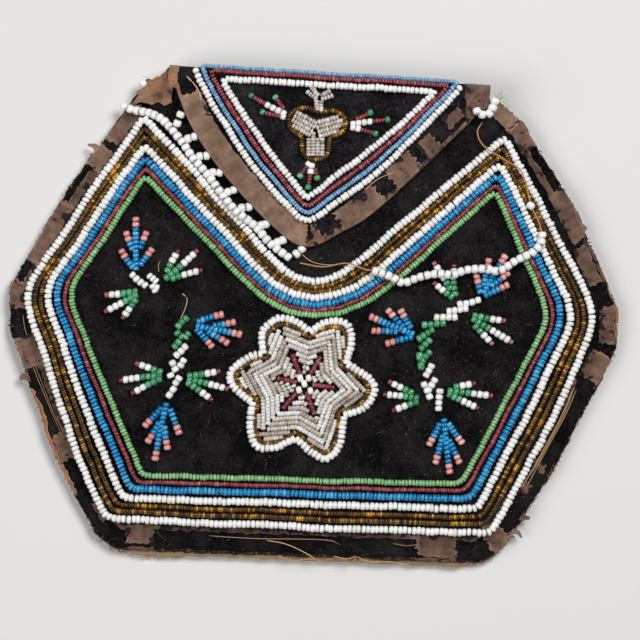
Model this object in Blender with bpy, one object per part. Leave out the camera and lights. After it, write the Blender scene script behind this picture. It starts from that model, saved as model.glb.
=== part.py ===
"""A beaded velvet pouch with a pointed flap, lying on its back.

Units are metres. +X runs to the right across the face, +Y up to the mouth, +Z out of the face.
The origin is the middle of the flat back, which is what the pouch rests on.
"""

import math

import bmesh
import bpy
from mathutils import Vector

# Cloth, ribbon and the clearance that touching pieces keep
VELVET = 0.0009
LINEN = 0.0003
LINING = 0.0003
RIBBON = 0.0003
GAP = 0.0003

# Depth of the pocket where the pouch is filled out, and how its face falls to the sewn edge
POCKET_DEPTH = 0.0052
SEAM_BAND = 0.0030
FACE_SLOPE = 0.0130
SHOULDER_SLOPE = 0.0050
RINGS = (0.0, SEAM_BAND, 0.0055, 0.0085, 0.0120, 0.0160)
UNDER_RINGS = (0.0, SEAM_BAND, 0.0055, 0.0095, 0.0150)

# Outline of the finished pouch: height, then how far the edge lies left and right there
MOUTH_TILT = 0.0022
OUTLINE = {
    "mouth": (0.0620, -0.0455, 0.0492),
    "shoulder": (0.0560, -0.0508, 0.0552),
    "arm": (0.0340, -0.0660, 0.0702),
    "waist_top": (0.0060, -0.0812, 0.0834),
    "waist_foot": (-0.0050, -0.0808, 0.0834),
    "hip": (-0.0390, -0.0676, 0.0672),
    "base": (-0.0600, -0.0556, 0.0545),
    "hem": (-0.0640, -0.0500, 0.0490),
}
EDGE_STEP = 0.0290
RING_DRAW = 5.0
LINING_RING = 2
BACK_LINING_INSET = 0.0090

# Ribbon bound over the sewn edge and the mouth
BINDING_FRONT = 0.0055
BINDING_BACK = 0.0050
BINDING_WEAR = 0.0012
BINDING_WEAR_TURN = 2.4
BINDING_TUCK = 0.80
MOUTH_BINDING = 0.0040
MOUTH_BINDING_STATIONS = (-0.0350, -0.0310, -0.0270, 0.0310, 0.0350, 0.0385)

# Flap: the ends of its fold, which lies past the mouth, and its edges in pairs from there to the tip
FOLD_ENDS = (-0.0390, 0.0455)
FOLD_PAST_MOUTH = 0.0014
FLAP_EDGES = (
    ((-0.0365, 0.0570), (0.0426, 0.0565)),
    ((-0.0325, 0.0490), (0.0355, 0.0490)),
    ((-0.0250, 0.0390), (0.0270, 0.0400)),
    ((-0.0150, 0.0286), (0.0150, 0.0284)),
    ((-0.0070, 0.0218), (0.0068, 0.0233)),
    ((-0.0030, 0.0194), (0.0012, 0.0198)),
)
FLAP_COLUMNS = 4
FOLD_REACH = 0.0032
FOLD_STEPS = 8
FLAP_RISE = 0.0007
FLAP_BINDING = 0.0052
FLAP_BINDING_UNDER = 0.0030
FLAP_LINING_INSET = 0.0060
# What is left of the flap's ribbon at each pair of edge points, left side and then right side
FLAP_RIBBON_LEFT = (0.60, 1.0, 1.0, 1.0, 1.0, 1.0, 1.0)
FLAP_RIBBON_RIGHT = (0.25, 0.25, 0.25, 0.35, 1.0, 1.0, 1.0)

# Width of each bead across its row, and a sewn bead's height as a share of that
WHITE_BEAD = 0.0018
BLUE_BEAD = 0.00165
GREEN_BEAD = 0.0015
MAROON_BEAD = 0.00095
BRONZE_BEAD = 0.0011
FLAP_WHITE_BEAD = 0.0016
FLAP_COLOUR_BEAD = 0.00115
EDGING_BEAD = 0.00235
EDGING_PITCH = 0.0019
THREAD = 0.0004
BEAD_HEIGHT_SHARE = 0.85
ROW_GAP = 0.0003
ROW_STEP = 0.0280
DRAPE_SAG = 0.00022
OUTLINE_SAG = 0.0005
DRAPE_LEAST = 0.0015

# Corners of the outermost and innermost row of the face, and how far each corner is rounded
FACE_ROW_OUTER = (
    ((-0.0461, 0.0526), 0.0015),
    ((-0.0768, 0.0046), 0.0060),
    ((-0.0606, -0.0385), 0.0040),
    ((-0.0522, -0.0552), 0.0020),
    ((0.0508, -0.0553), 0.0020),
    ((0.0648, -0.0270), 0.0040),
    ((0.0770, 0.0040), 0.0060),
    ((0.0505, 0.0509), 0.0015),
    ((0.0003, 0.0050), 0.0160),
)
FACE_ROW_INNER = (
    ((-0.0453, 0.0370), 0.0015),
    ((-0.0653, 0.0046), 0.0060),
    ((-0.0530, -0.0225), 0.0040),
    ((-0.0432, -0.0436), 0.0020),
    ((0.0425, -0.0425), 0.0020),
    ((0.0545, -0.0180), 0.0040),
    ((0.0649, 0.0036), 0.0060),
    ((0.0487, 0.0364), 0.0015),
    ((0.0013, -0.0092), 0.0290),
)
FACE_ROWS = (
    ("face_row_white_outer", WHITE_BEAD, "white_bead"),
    ("face_row_bronze_outer", BRONZE_BEAD, "bronze_bead"),
    ("face_row_bronze_inner", BRONZE_BEAD, "bronze_bead"),
    ("face_row_white_inner", WHITE_BEAD, "white_bead"),
    ("face_row_blue", BLUE_BEAD, "blue_bead"),
    ("face_row_maroon", MAROON_BEAD, "maroon_bead"),
    ("face_row_green", GREEN_BEAD, "pale_green_bead"),
)

# The flap's rows, each by its corners from the fold's left end round the tip
FLAP_ROW_OUTER = (
    ((-0.0330, 0.0656), 0.0),
    ((-0.0277, 0.0565), 0.0040),
    ((-0.0182, 0.0420), 0.0060),
    ((-0.0020, 0.0254), 0.0040),
    ((0.0144, 0.0378), 0.0060),
    ((0.0272, 0.0510), 0.0040),
    ((0.0382, 0.0636), 0.0),
)
FLAP_ROW_INNER = (
    ((-0.0262, 0.0645), 0.0008),
    ((-0.0216, 0.0572), 0.0040),
    ((-0.0130, 0.0452), 0.0060),
    ((-0.0018, 0.0325), 0.0008),
    ((0.0100, 0.0422), 0.0060),
    ((0.0224, 0.0530), 0.0040),
    ((0.0318, 0.0624), 0.0008),
)
# How far past the crease a row crosses the fold, or None where it ends there
FLAP_ROWS = (
    ("flap_row_white_outer", FLAP_WHITE_BEAD, "white_bead", None),
    ("flap_row_light_blue", FLAP_COLOUR_BEAD, "light_blue_bead", 0.0028),
    ("flap_row_red", FLAP_COLOUR_BEAD, "maroon_bead", 0.0016),
    ("flap_row_white_inner", FLAP_WHITE_BEAD, "white_bead", 0.0),
)

# Flower: middle, the direction of each petal, and how far the outline lies at a tip and a notch
FLOWER = (-0.0006, -0.0172)
PETAL_ANGLES = (57.0, 118.0, 175.0, 235.0, 290.0, 355.0)
PETAL_TIP = 0.0192
PETAL_NOTCH = 0.0137
OUTLINE_STEPS = 4
PETAL_ROOT = 0.0044
PETAL_MARGIN = 0.0010
PETAL_BEAD = 0.0012
RAY_LENGTH = 0.0086
HEART = 0.0024
HEART_SIDES = 6

# Sprays and sprigs: each finger as foot x, foot y, tip x, tip y, and the first one is the spine
FINGERS = {
    "left_top_spray": (
        (-0.0469, 0.0115, -0.0475, 0.0259),
        (-0.0475, 0.0121, -0.0512, 0.0171),
        (-0.0473, 0.0157, -0.0501, 0.0220),
        (-0.0466, 0.0162, -0.0444, 0.0222),
        (-0.0466, 0.0119, -0.0426, 0.0177),
    ),
    "left_side_spray": (
        (-0.0304, -0.0028, -0.0178, -0.0047),
        (-0.0301, -0.0018, -0.0229, 0.0007),
        (-0.0270, -0.0028, -0.0196, -0.0012),
        (-0.0272, -0.0040, -0.0212, -0.0073),
        (-0.0303, -0.0034, -0.0255, -0.0085),
    ),
    "left_bottom_spray": (
        (-0.0373, -0.0236, -0.0399, -0.0394),
        (-0.0378, -0.0240, -0.0432, -0.0304),
        (-0.0385, -0.0278, -0.0422, -0.0347),
        (-0.0379, -0.0286, -0.0365, -0.0364),
        (-0.0369, -0.0240, -0.0335, -0.0322),
    ),
    "left_upper_sprig_right": (
        (-0.0392, 0.0094, -0.0305, 0.0177),
        (-0.0392, 0.0098, -0.0356, 0.0175),
        (-0.0390, 0.0090, -0.0290, 0.0123),
    ),
    "left_upper_sprig_left": (
        (-0.0462, 0.0053, -0.0551, 0.0000),
        (-0.0462, 0.0061, -0.0552, 0.0046),
        (-0.0457, 0.0052, -0.0502, -0.0017),
    ),
    "left_lower_sprig_left": (
        (-0.0388, -0.0163, -0.0504, -0.0183),
        (-0.0387, -0.0157, -0.0463, -0.0133),
        (-0.0389, -0.0171, -0.0470, -0.0217),
    ),
    "left_lower_sprig_right": (
        (-0.0322, -0.0171, -0.0208, -0.0194),
        (-0.0322, -0.0164, -0.0231, -0.0146),
        (-0.0323, -0.0178, -0.0249, -0.0227),
    ),
    "right_top_spray": (
        (0.0464, 0.0088, 0.0521, 0.0196),
        (0.0458, 0.0088, 0.0444, 0.0143),
        (0.0464, 0.0095, 0.0477, 0.0185),
        (0.0474, 0.0102, 0.0532, 0.0150),
        (0.0467, 0.0082, 0.0533, 0.0117),
    ),
    "right_side_spray": (
        (0.0284, -0.0028, 0.0161, 0.0017),
        (0.0282, -0.0022, 0.0243, 0.0039),
        (0.0264, -0.0020, 0.0208, 0.0038),
        (0.0262, -0.0024, 0.0168, -0.0023),
        (0.0280, -0.0034, 0.0207, -0.0057),
    ),
    "right_bottom_spray": (
        (0.0372, -0.0249, 0.0394, -0.0399),
        (0.0367, -0.0252, 0.0333, -0.0326),
        (0.0374, -0.0283, 0.0353, -0.0374),
        (0.0381, -0.0295, 0.0420, -0.0371),
        (0.0377, -0.0252, 0.0426, -0.0317),
    ),
    "right_upper_sprig_left": (
        (0.0390, 0.0078, 0.0384, 0.0165),
        (0.0386, 0.0074, 0.0329, 0.0115),
        (0.0387, 0.0080, 0.0327, 0.0169),
    ),
    "right_upper_sprig_right": (
        (0.0436, 0.0022, 0.0550, -0.0041),
        (0.0437, 0.0030, 0.0529, 0.0018),
        (0.0432, 0.0016, 0.0497, -0.0048),
    ),
    "right_lower_sprig_left": (
        (0.0303, -0.0199, 0.0206, -0.0192),
        (0.0303, -0.0192, 0.0218, -0.0156),
        (0.0303, -0.0206, 0.0231, -0.0236),
    ),
    "right_lower_sprig_right": (
        (0.0378, -0.0176, 0.0502, -0.0185),
        (0.0378, -0.0170, 0.0455, -0.0152),
        (0.0378, -0.0183, 0.0466, -0.0221),
    ),
    "flap_spray_left": (
        (-0.0082, 0.0547, -0.0184, 0.0598),
        (-0.0079, 0.0551, -0.0117, 0.0598),
        (-0.0082, 0.0540, -0.0153, 0.0553),
    ),
    "flap_spray_right": (
        (0.0090, 0.0528, 0.0197, 0.0545),
        (0.0090, 0.0534, 0.0150, 0.0565),
        (0.0090, 0.0521, 0.0166, 0.0504),
    ),
    "flap_spray_tip": (
        (-0.0008, 0.0421, -0.0017, 0.0348),
        (-0.0013, 0.0423, -0.0042, 0.0379),
        (-0.0003, 0.0423, 0.0009, 0.0373),
    ),
}
SPRAY_FINGER = 0.0017
SPRIG_FINGER = 0.0017

# Stems: the middle line of each zigzag of beads, and its width
STEM_WIDTH = 0.0030
STEMS = {
    "left_upper_stem": (
        "white_bead",
        ((-0.0480, 0.0098), (-0.0455, 0.0083), (-0.0425, 0.0080), (-0.0412, 0.0078)),
    ),
    "left_green_stem": (
        "green_bead",
        ((-0.0334, -0.0006), (-0.0340, -0.0040), (-0.0347, -0.0075)),
    ),
    "left_lower_stem": (
        "white_bead",
        ((-0.0346, -0.0085), (-0.0350, -0.0130), (-0.0354, -0.0170), (-0.0368, -0.0222)),
    ),
    "right_upper_stem": (
        "white_bead",
        ((0.0440, 0.0062), (0.0400, 0.0044), (0.0360, 0.0020)),
    ),
    "right_green_stem": (
        "green_bead",
        ((0.0338, 0.0000), (0.0318, -0.0030), (0.0312, -0.0065), (0.0312, -0.0110)),
    ),
    "right_lower_stem": (
        "white_bead",
        ((0.0328, -0.0122), (0.0330, -0.0160), (0.0345, -0.0195), (0.0360, -0.0232)),
    ),
}

# Three-lobed motif of the flap: middle, lobe directions, reach and width, and the leaf above it
TREFOIL = (-0.0002, 0.0508)
LOBE_ANGLES = (168.0, 14.0, 269.0)
LOBE_REACH = 0.0078
LOBE_WAIST = 0.0034
LOBE_STEPS = 6
LEAF_STEM = (0.0002, 0.0557, 0.0004, 0.0578)
LEAF_LOBES = ((0.0002, 0.0575, -0.0026, 0.0608), (0.0006, 0.0575, 0.0039, 0.0600))

# Picot edging of the flap: how far its line hangs from the flap's edge, and the beads of each picot
EDGING_REACH = 0.0035
PICOT_PITCH = 0.0061
PICOT_START = 0.0135
PICOT_COUNT = 9
PICOT_BEADS = (0.42, 1.0)
PICOT_SHRINK = 0.97
# A bead's profile along its thread: places as shares of the pitch, and widths as shares of the bead
BEAD_STATIONS = ((-0.5, 0.45), (0.0, 1.0))
BEAD_END = ((0.5, 0.45),)
# Where the edging runs on past the flap over the shoulder
EDGING_SHOULDER = (
    (-0.0530, 0.0562),
    (-0.0505, 0.0551),
    (-0.0478, 0.0546),
    (-0.0454, 0.0542),
    (-0.0429, 0.0532),
    (-0.0407, 0.0517),
)

# What is left of the edging at the flap's right corner
CORNER_LOOP = (
    (0.0424, 0.0584),
    (0.0433, 0.0568),
    (0.0459, 0.0569),
    (0.0470, 0.0590),
    (0.0476, 0.0612),
)

# The torn edging lies loose on its thread from the flap's tip to its right corner
STRAND_ROUTE = (
    (-0.0030, 0.0152),
    (0.0032, 0.0144),
    (0.0094, 0.0156),
    (0.0140, 0.0142),
    (0.0178, 0.0136),
    (0.0216, 0.0124),
    (0.0249, 0.0109),
    (0.0291, 0.0126),
    (0.0339, 0.0137),
    (0.0382, 0.0136),
    (0.0414, 0.0150),
    (0.0465, 0.0155),
    (0.0505, 0.0151),
    (0.0547, 0.0180),
    (0.0594, 0.0206),
    (0.0615, 0.0239),
    (0.0608, 0.0281),
    (0.0584, 0.0330),
    (0.0557, 0.0417),
    (0.0513, 0.0447),
    (0.0452, 0.0483),
    (0.0432, 0.0520),
    (0.0444, 0.0548),
)
STRAND_BEADS = (0.185, 0.660)
STRAND_STEP = 0.0060
STRAND_REST_STEP = 0.0012
STRAND_EASE = 6

# Colour, roughness and metallic value of each finish
FINISHES = {
    "velvet": ((0.012, 0.011, 0.013), 0.95, 0.0),
    "linen": ((0.42, 0.30, 0.18), 0.95, 0.0),
    "lining": ((0.24, 0.17, 0.12), 0.85, 0.0),
    "ribbon": ((0.20, 0.11, 0.075), 0.75, 0.0),
    "white_bead": ((0.80, 0.80, 0.77), 0.25, 0.0),
    "bronze_bead": ((0.20, 0.11, 0.025), 0.25, 0.6),
    "blue_bead": ((0.010, 0.20, 0.50), 0.20, 0.0),
    "maroon_bead": ((0.20, 0.030, 0.040), 0.20, 0.0),
    "pale_green_bead": ((0.22, 0.45, 0.18), 0.25, 0.0),
    "green_bead": ((0.06, 0.33, 0.15), 0.20, 0.0),
    "light_blue_bead": ((0.18, 0.36, 0.60), 0.20, 0.0),
    "clear_bead": ((0.45, 0.42, 0.37), 0.15, 0.0),
}
SPRIG_FINISH = "green_bead"
SPRAY_FINISH = "blue_bead"

# Heights that follow from the layers, from the back up
BINDING_REST = GAP
RIM_BACK = BINDING_REST + RIBBON + GAP
RIM_LINEN = RIM_BACK + VELVET + GAP
RIM_FRONT = RIM_LINEN + LINEN + GAP + VELVET
BACK_LINING_BASE = VELVET + GAP
POCKET_FLOOR = BACK_LINING_BASE + LINING
FRONT_STACK = LINING + GAP + LINEN + GAP + VELVET
FACE_TOP = POCKET_FLOOR + POCKET_DEPTH + FRONT_STACK
FLAP_STACK = LINING + GAP + VELVET
FLAP_TIP_TOP = FACE_TOP + GAP + FLAP_STACK
FOLD_TOP = FLAP_TIP_TOP + FLAP_RISE
BINDING_OUTSIDE = GAP + RIBBON


def clear_scene():
    for item in list(bpy.data.objects):
        bpy.data.objects.remove(item)


def material(name):
    """The finish of that name, made on first use."""
    found = bpy.data.materials.get(name)
    if found:
        return found
    colour, roughness, metallic = FINISHES[name]
    made = bpy.data.materials.new(name)
    made.use_nodes = True
    shader = made.node_tree.nodes["Principled BSDF"]
    shader.inputs["Base Color"].default_value = (*colour, 1.0)
    shader.inputs["Roughness"].default_value = roughness
    shader.inputs["Metallic"].default_value = metallic
    made.diffuse_color = (*colour, 1.0)
    return made


def solid(name, verts, faces, finish, smooth_angle=35.0):
    """A closed body with its faces out, shaded smooth up to the angle given."""
    mesh = bpy.data.meshes.new(name)
    mesh.from_pydata([tuple(vert) for vert in verts], [], faces)
    form = bmesh.new()
    form.from_mesh(mesh)
    bmesh.ops.recalc_face_normals(form, faces=form.faces)
    form.to_mesh(mesh)
    form.free()
    mesh.materials.append(material(finish))
    mesh.shade_smooth()
    mesh.set_sharp_from_angle(angle=math.radians(smooth_angle))
    made = bpy.data.objects.new(name, mesh)
    bpy.context.scene.collection.objects.link(made)
    return made


def mix(a, b, share):
    return a + (b - a) * share


def rounded(corners, closed, steps=2):
    """A path through corners, each a place and a cut, with every cut corner turned as a short curve."""
    points = [Vector(place) for place, _ in corners]
    path = []
    for index, (_, cut) in enumerate(corners):
        corner = points[index]
        inner = closed or 0 < index < len(corners) - 1
        if cut <= 0 or not inner:
            path.append(corner)
            continue
        before = corner + (points[index - 1] - corner).normalized() * cut
        after = corner + (points[(index + 1) % len(points)] - corner).normalized() * cut
        turns = steps * max(1, round(cut / 0.008))
        for step in range(turns + 1):
            share = step / turns
            path.append(mix(mix(before, corner, share), mix(corner, after, share), share))
    return path


def draped(path, surface, longest, closed, slack=DRAPE_SAG):
    """The path with points added until no stretch is too long or leaves the surface under it."""
    def between_ends(start, end):
        middle = (start + end) / 2
        length = (end - start).length
        sag = abs(surface(*middle) - (surface(*start) + surface(*end)) / 2)
        if length <= DRAPE_LEAST or (length <= longest and sag <= slack):
            return [start]
        return between_ends(start, middle) + between_ends(middle, end)

    made = []
    pairs = zip(path, path[1:] + path[:1]) if closed else zip(path, path[1:])
    for start, end in pairs:
        made += between_ends(start, end)
    return made if closed else made + [path[-1]]


def smooth_route(points, step):
    """Points a step apart on the smooth curve through the route's own points."""
    places = [Vector(point) for point in points]
    ends = [places[0] * 2 - places[1], *places, places[-1] * 2 - places[-2]]
    fine = []
    for a, b, c, d in zip(ends, ends[1:], ends[2:], ends[3:]):
        for part in range(12):
            t = part / 12
            fine.append(0.5 * (2 * b + (c - a) * t + (2 * a - 5 * b + 4 * c - d) * t * t
                               + (3 * b - a - 3 * c + d) * t * t * t))
    fine.append(places[-1])
    total = sum((q - p).length for p, q in zip(fine, fine[1:]))
    count = max(1, round(total / step))
    route, walked, wanted = [fine[0]], 0.0, total / count
    for p, q in zip(fine, fine[1:]):
        length = (q - p).length
        while length > 0 and walked + length >= wanted * len(route) and len(route) < count:
            route.append(mix(p, q, (wanted * len(route) - walked) / length))
        walked += length
    return route + [fine[-1]]


def half_outline(side):
    """One side of the outline from the mouth down, with the mouth's corner raised or lowered by its tilt."""
    points = [Vector((level[side], level[0])) for level in OUTLINE.values()]
    points[0].y += MOUTH_TILT / 2 if side == 1 else -MOUTH_TILT / 2
    return points


def finished_outline():
    """The pouch's outline from the mouth's left corner down, along the hem and up to its right corner."""
    return half_outline(1) + half_outline(2)[::-1]


def inward(path, index, closed=False):
    """The inward normal at a point of an outline that runs anticlockwise, lengthened to keep offsets parallel."""
    here = path[index]
    before = path[index - 1] if closed or index else here - (path[index + 1] - here)
    follow = path[(index + 1) % len(path)] if closed or index < len(path) - 1 else here * 2 - before
    first = (here - before).normalized()
    second = (follow - here).normalized()
    normal = Vector((-first.y - second.y, first.x + second.x)).normalized()
    return normal / max(0.5, normal.dot(Vector((-first.y, first.x))))


def sewn_outline():
    """The panels' own edge, inside the binding."""
    path = finished_outline()
    return [point + inward(path, index) * BINDING_OUTSIDE for index, point in enumerate(path)]


SEWN = sewn_outline()


def sewn_sides():
    """Each sewn side as a point on it, its inward normal and how far the face takes to rise from it."""
    sides = []
    for index, (start, end) in enumerate(zip(SEWN, SEWN[1:])):
        along = (end - start).normalized()
        slope = SHOULDER_SLOPE if index in (0, len(SEWN) - 2) else FACE_SLOPE
        sides.append((start, Vector((-along.y, along.x)), slope))
    return sides


SIDES = sewn_sides()


def mouth_edge(x):
    """Height of the panels' free edge at the mouth."""
    left, right = SEWN[0], SEWN[-1]
    return mix(left.y, right.y, (x - left.x) / (right.x - left.x))


def crease(x):
    """Where the flap's flat part ends and its fold begins."""
    return mouth_edge(x) + FOLD_PAST_MOUTH


def inset(x, y):
    """How far a point lies in from the nearest sewn side."""
    return min((Vector((x, y)) - start).dot(normal) for start, normal, _ in SIDES)


def filled(x, y):
    """How far the face is raised there, from 0 at the seam to 1 where the pouch is filled out."""
    share = min(
        ((Vector((x, y)) - start).dot(normal) - SEAM_BAND) / slope
        for start, normal, slope in SIDES
    )
    return math.sin(min(1.0, max(0.0, share)) * math.pi / 2)


def face(x, y):
    """Top of the front velvet."""
    return RIM_FRONT + (FACE_TOP - RIM_FRONT) * filled(x, y)


def back(x, y):
    """Underside of the back velvet, which is flat but for the step over the binding."""
    share = (BACK_LINING_INSET - GAP - inset(x, y)) / (BACK_LINING_INSET - BINDING_BACK - 2 * GAP)
    return RIM_BACK * min(1.0, max(0.0, share))


def below(surface, depth):
    return lambda x, y: surface(x, y) - depth


def above(surface, height):
    return lambda x, y: surface(x, y) + height


def ring_at(outline, distance):
    """The outline drawn in toward the middle until each point is that far inside the sewn sides."""
    ring = []
    for point in outline:
        low, high = 0.0, 0.9
        for _ in range(24):
            share = (low + high) / 2
            inside = point * (1 - share)
            if inset(inside.x, inside.y) < distance:
                low = share
            else:
                high = share
        ring.append(point * (1 - max(high, distance * RING_DRAW)))
    return ring


def sheet(name, insets, bottom, top, finish):
    """A closed layer of cloth between two surfaces, with a ring of points at each inset and one in the middle."""
    outline = draped(SEWN, face, EDGE_STEP, True, OUTLINE_SAG)
    rings = [ring_at(outline, distance) for distance in insets]
    count = len(outline)
    verts, faces = [], []
    for surface in (top, bottom):
        for ring in rings:
            verts += [(point.x, point.y, surface(point.x, point.y)) for point in ring]
        verts.append((0.0, 0.0, surface(0.0, 0.0)))
    half = len(rings) * count + 1
    for side in (0, half):
        for ring in range(len(rings) - 1):
            for index in range(count):
                follow = (index + 1) % count
                a, b = side + ring * count, side + (ring + 1) * count
                faces.append((a + index, a + follow, b + follow, b + index))
        last = side + (len(rings) - 1) * count
        faces += [(last + i, last + (i + 1) % count, side + half - 1) for i in range(count)]
    for index in range(count):
        follow = (index + 1) % count
        faces.append((index, half + index, half + follow, follow))
    return solid(name, verts, faces, finish)


def tube(name, rings, closed, finish, smooth_angle=50.0):
    """A solid through rings of equal size, joined end to end or closed by a face at each end."""
    count = len(rings[0])
    verts = [vert for ring in rings for vert in ring]
    faces = []
    stretches = len(rings) if closed else len(rings) - 1
    for ring in range(stretches):
        here, there = ring * count, (ring + 1) % len(rings) * count
        for index in range(count):
            follow = (index + 1) % count
            faces.append((here + index, here + follow, there + follow, there + index))
    if not closed:
        faces.append(tuple(range(count)))
        faces.append(tuple(range(len(verts) - count, len(verts))))
    return solid(name, verts, faces, finish, smooth_angle)


def back_panel():
    sheet("back_panel", (0.0, 0.0057, 0.0087, 0.0200), back, above(back, VELVET), "velvet")


def back_lining():
    base = BACK_LINING_BASE
    sheet(
        "back_lining",
        (BACK_LINING_INSET,),
        lambda x, y: base,
        lambda x, y: base + LINING,
        "lining",
    )


def front_layers():
    """Velvet, its linen backing and the lining, each a gap under the one above."""
    linen_top = below(face, VELVET + GAP)
    lining_top = below(linen_top, LINEN + GAP)
    sheet("front_panel", RINGS, below(face, VELVET), face, "velvet")
    sheet("front_backing", UNDER_RINGS, below(linen_top, LINEN), linen_top, "linen")
    lining_rings = UNDER_RINGS[LINING_RING:]
    sheet("front_lining", lining_rings, below(lining_top, LINING), lining_top, "lining")


def edge_binding():
    """Ribbon folded over the sewn edge, worn to an uneven width on the face."""
    path = draped(SEWN, face, EDGE_STEP, closed=False)
    beads = face_row_paths()[0]
    rings = []
    for index, point in enumerate(path):
        normal = inward(path, index)
        worn = BINDING_FRONT - BINDING_WEAR * (0.5 + 0.5 * math.sin(index * BINDING_WEAR_TURN))
        room = min(distance_to(point, a, b) for a, b in zip(beads, beads[1:] + beads[:1]))
        width = min(worn, (room - WHITE_BEAD / 2 - GAP) * BINDING_TUCK)
        stations = (width, SEAM_BAND * 0.98, -GAP)
        over = []
        for station in stations:
            spot = point + normal * station
            over.append((spot, face(spot.x, spot.y) + GAP))
        outside, under = point - normal * BINDING_OUTSIDE, point + normal * BINDING_BACK
        ring = [(*spot, height + RIBBON) for spot, height in over[:2]]
        ring += [(*outside, over[2][1] + RIBBON / 2), (*outside, BINDING_REST + RIBBON / 2)]
        ring += [(*under, BINDING_REST), (*under, BINDING_REST + RIBBON)]
        ring.append((*(point - normal * GAP), BINDING_REST + RIBBON))
        ring += [(*spot, height) for spot, height in reversed(over)]
        rings.append(ring)
    tube("edge_binding", rings, False, "ribbon")


def mouth_binding():
    """Ribbon folded over the front's free edge at the mouth."""
    rings = []
    for x in MOUTH_BINDING_STATIONS:
        edge = mouth_edge(x)
        front, outside = edge - MOUTH_BINDING, edge + BINDING_OUTSIDE
        ring = []
        for y, over, under in ((front, GAP, GAP), (edge, GAP, GAP)):
            ring.append((y, face(x, y) + over, face(x, y) - FRONT_STACK - under))
        (_, front_top, front_bottom), (_, top, bottom) = ring
        section = (
            (front, front_top), (edge + GAP, top), (edge + GAP, bottom), (front, front_bottom),
            (front, front_bottom - RIBBON), (outside, bottom - RIBBON),
            (outside, top + RIBBON), (front, front_top + RIBBON),
        )
        rings.append([(x, y, z) for y, z in section])
    tube("mouth_binding", rings, False, "ribbon", 30.0)


def flap_outline(drawn_in):
    """The flap's left and right edges from the fold to the tip, drawn in by an even width."""
    left, right = ([Vector((x, crease(x)))] for x in FOLD_ENDS)
    left += [Vector(edge[0]) for edge in FLAP_EDGES]
    right += [Vector(edge[1]) for edge in FLAP_EDGES]
    path = left + right[::-1]
    path = [point + inward(path, index) * drawn_in for index, point in enumerate(path)]
    for end in (path[0], path[-1]):
        end.y = crease(end.x)
    return path[:len(left)], path[len(left):][::-1]


def flap_levels(drawn_in):
    """Each level of the flap from the back seam round the fold to the tip: left end, right end, height, up."""
    lefts, rights = flap_outline(drawn_in)
    left, right = lefts[0], rights[0]
    middle = FOLD_TOP / 2
    seam = Vector((0.0, GAP - FOLD_PAST_MOUTH))
    levels = [(left + seam, right + seam, 0.0, Vector((0.0, 0.0, -1.0)))]
    for step in range(FOLD_STEPS + 1):
        angle = math.radians(-90 + 180 * step / FOLD_STEPS)
        out = Vector((0.0, FOLD_REACH * math.cos(angle)))
        up = Vector((0.0, math.cos(angle) / FOLD_REACH, math.sin(angle) / middle)).normalized()
        levels.append((left + out, right + out, middle * (1 + math.sin(angle)), up))
    for edge_left, edge_right in zip(lefts[1:], rights[1:]):
        height = (flap_top(*edge_left) + flap_top(*edge_right)) / 2
        levels.append((edge_left, edge_right, height, Vector((0.0, 0.0, 1.0))))
    return levels


def flap_top(x, y):
    """Top of the flap's velvet, which falls a little from the fold to the tip and rolls over at the fold."""
    fold, tip = crease(x), FLAP_EDGES[-1][0][1]
    if y <= fold:
        return FLAP_TIP_TOP + FLAP_RISE * max(0.0, (y - tip) / (fold - tip))
    over = min(1.0, (y - fold) / FOLD_REACH)
    return FOLD_TOP / 2 * (1 + math.sqrt(1 - over * over))


def flap_layer(name, depth, thickness, drawn_in, first, last, finish):
    """One layer of the flap, between two depths under its outer surface."""
    rings = []
    for left, right, height, up in flap_levels(drawn_in)[first:last]:
        outer, inner = [], []
        for column in range(FLAP_COLUMNS + 1):
            spot = mix(left, right, column / FLAP_COLUMNS)
            surface = Vector((spot.x, spot.y, height))
            outer.append(surface - up * depth)
            inner.append(surface - up * (depth + thickness))
        rings.append(outer + inner[::-1])
    tube(name, rings, False, finish, 50.0)


def flap():
    flap_layer("flap", 0.0, VELVET, BINDING_OUTSIDE, 0, None, "velvet")
    depth = VELVET + GAP
    flap_layer("flap_lining", depth, LINING, FLAP_LINING_INSET, 2, -2, "lining")


def flap_binding():
    """Ribbon folded over the flap's edge from the fold to the tip and back, torn away at the right."""
    outer, inner, under = (
        left + right[::-1]
        for left, right in map(flap_outline, (0.0, RIBBON, FLAP_BINDING_UNDER))
    )
    shares = FLAP_RIBBON_LEFT + FLAP_RIBBON_RIGHT[::-1]
    rings = []
    for index, (point, share) in enumerate(zip(outer, shares)):
        wide = point + inward(outer, index) * FLAP_BINDING * share
        height = flap_top(*point)
        wide_top = flap_top(*wide) + GAP
        top, bottom = height + GAP, height - VELVET - GAP
        under_top = flap_top(*under[index]) - VELVET - GAP
        rings.append([
            (*wide, wide_top + RIBBON), (*point, top + RIBBON),
            (*point, bottom - RIBBON), (*under[index], under_top - RIBBON),
            (*under[index], under_top), (*inner[index], bottom),
            (*inner[index], top), (*wide, wide_top),
        ])
    tube("flap_binding", rings, False, "ribbon", 40.0)


def surface_frame(surface, point):
    """The point on a surface and the surface's normal there."""
    reach = 0.0004
    rise_x = surface(point.x + reach, point.y) - surface(point.x - reach, point.y)
    rise_y = surface(point.x, point.y + reach) - surface(point.x, point.y - reach)
    up = Vector((-rise_x, -rise_y, 2 * reach)).normalized()
    return Vector((point.x, point.y, surface(point.x, point.y))), up


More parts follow.
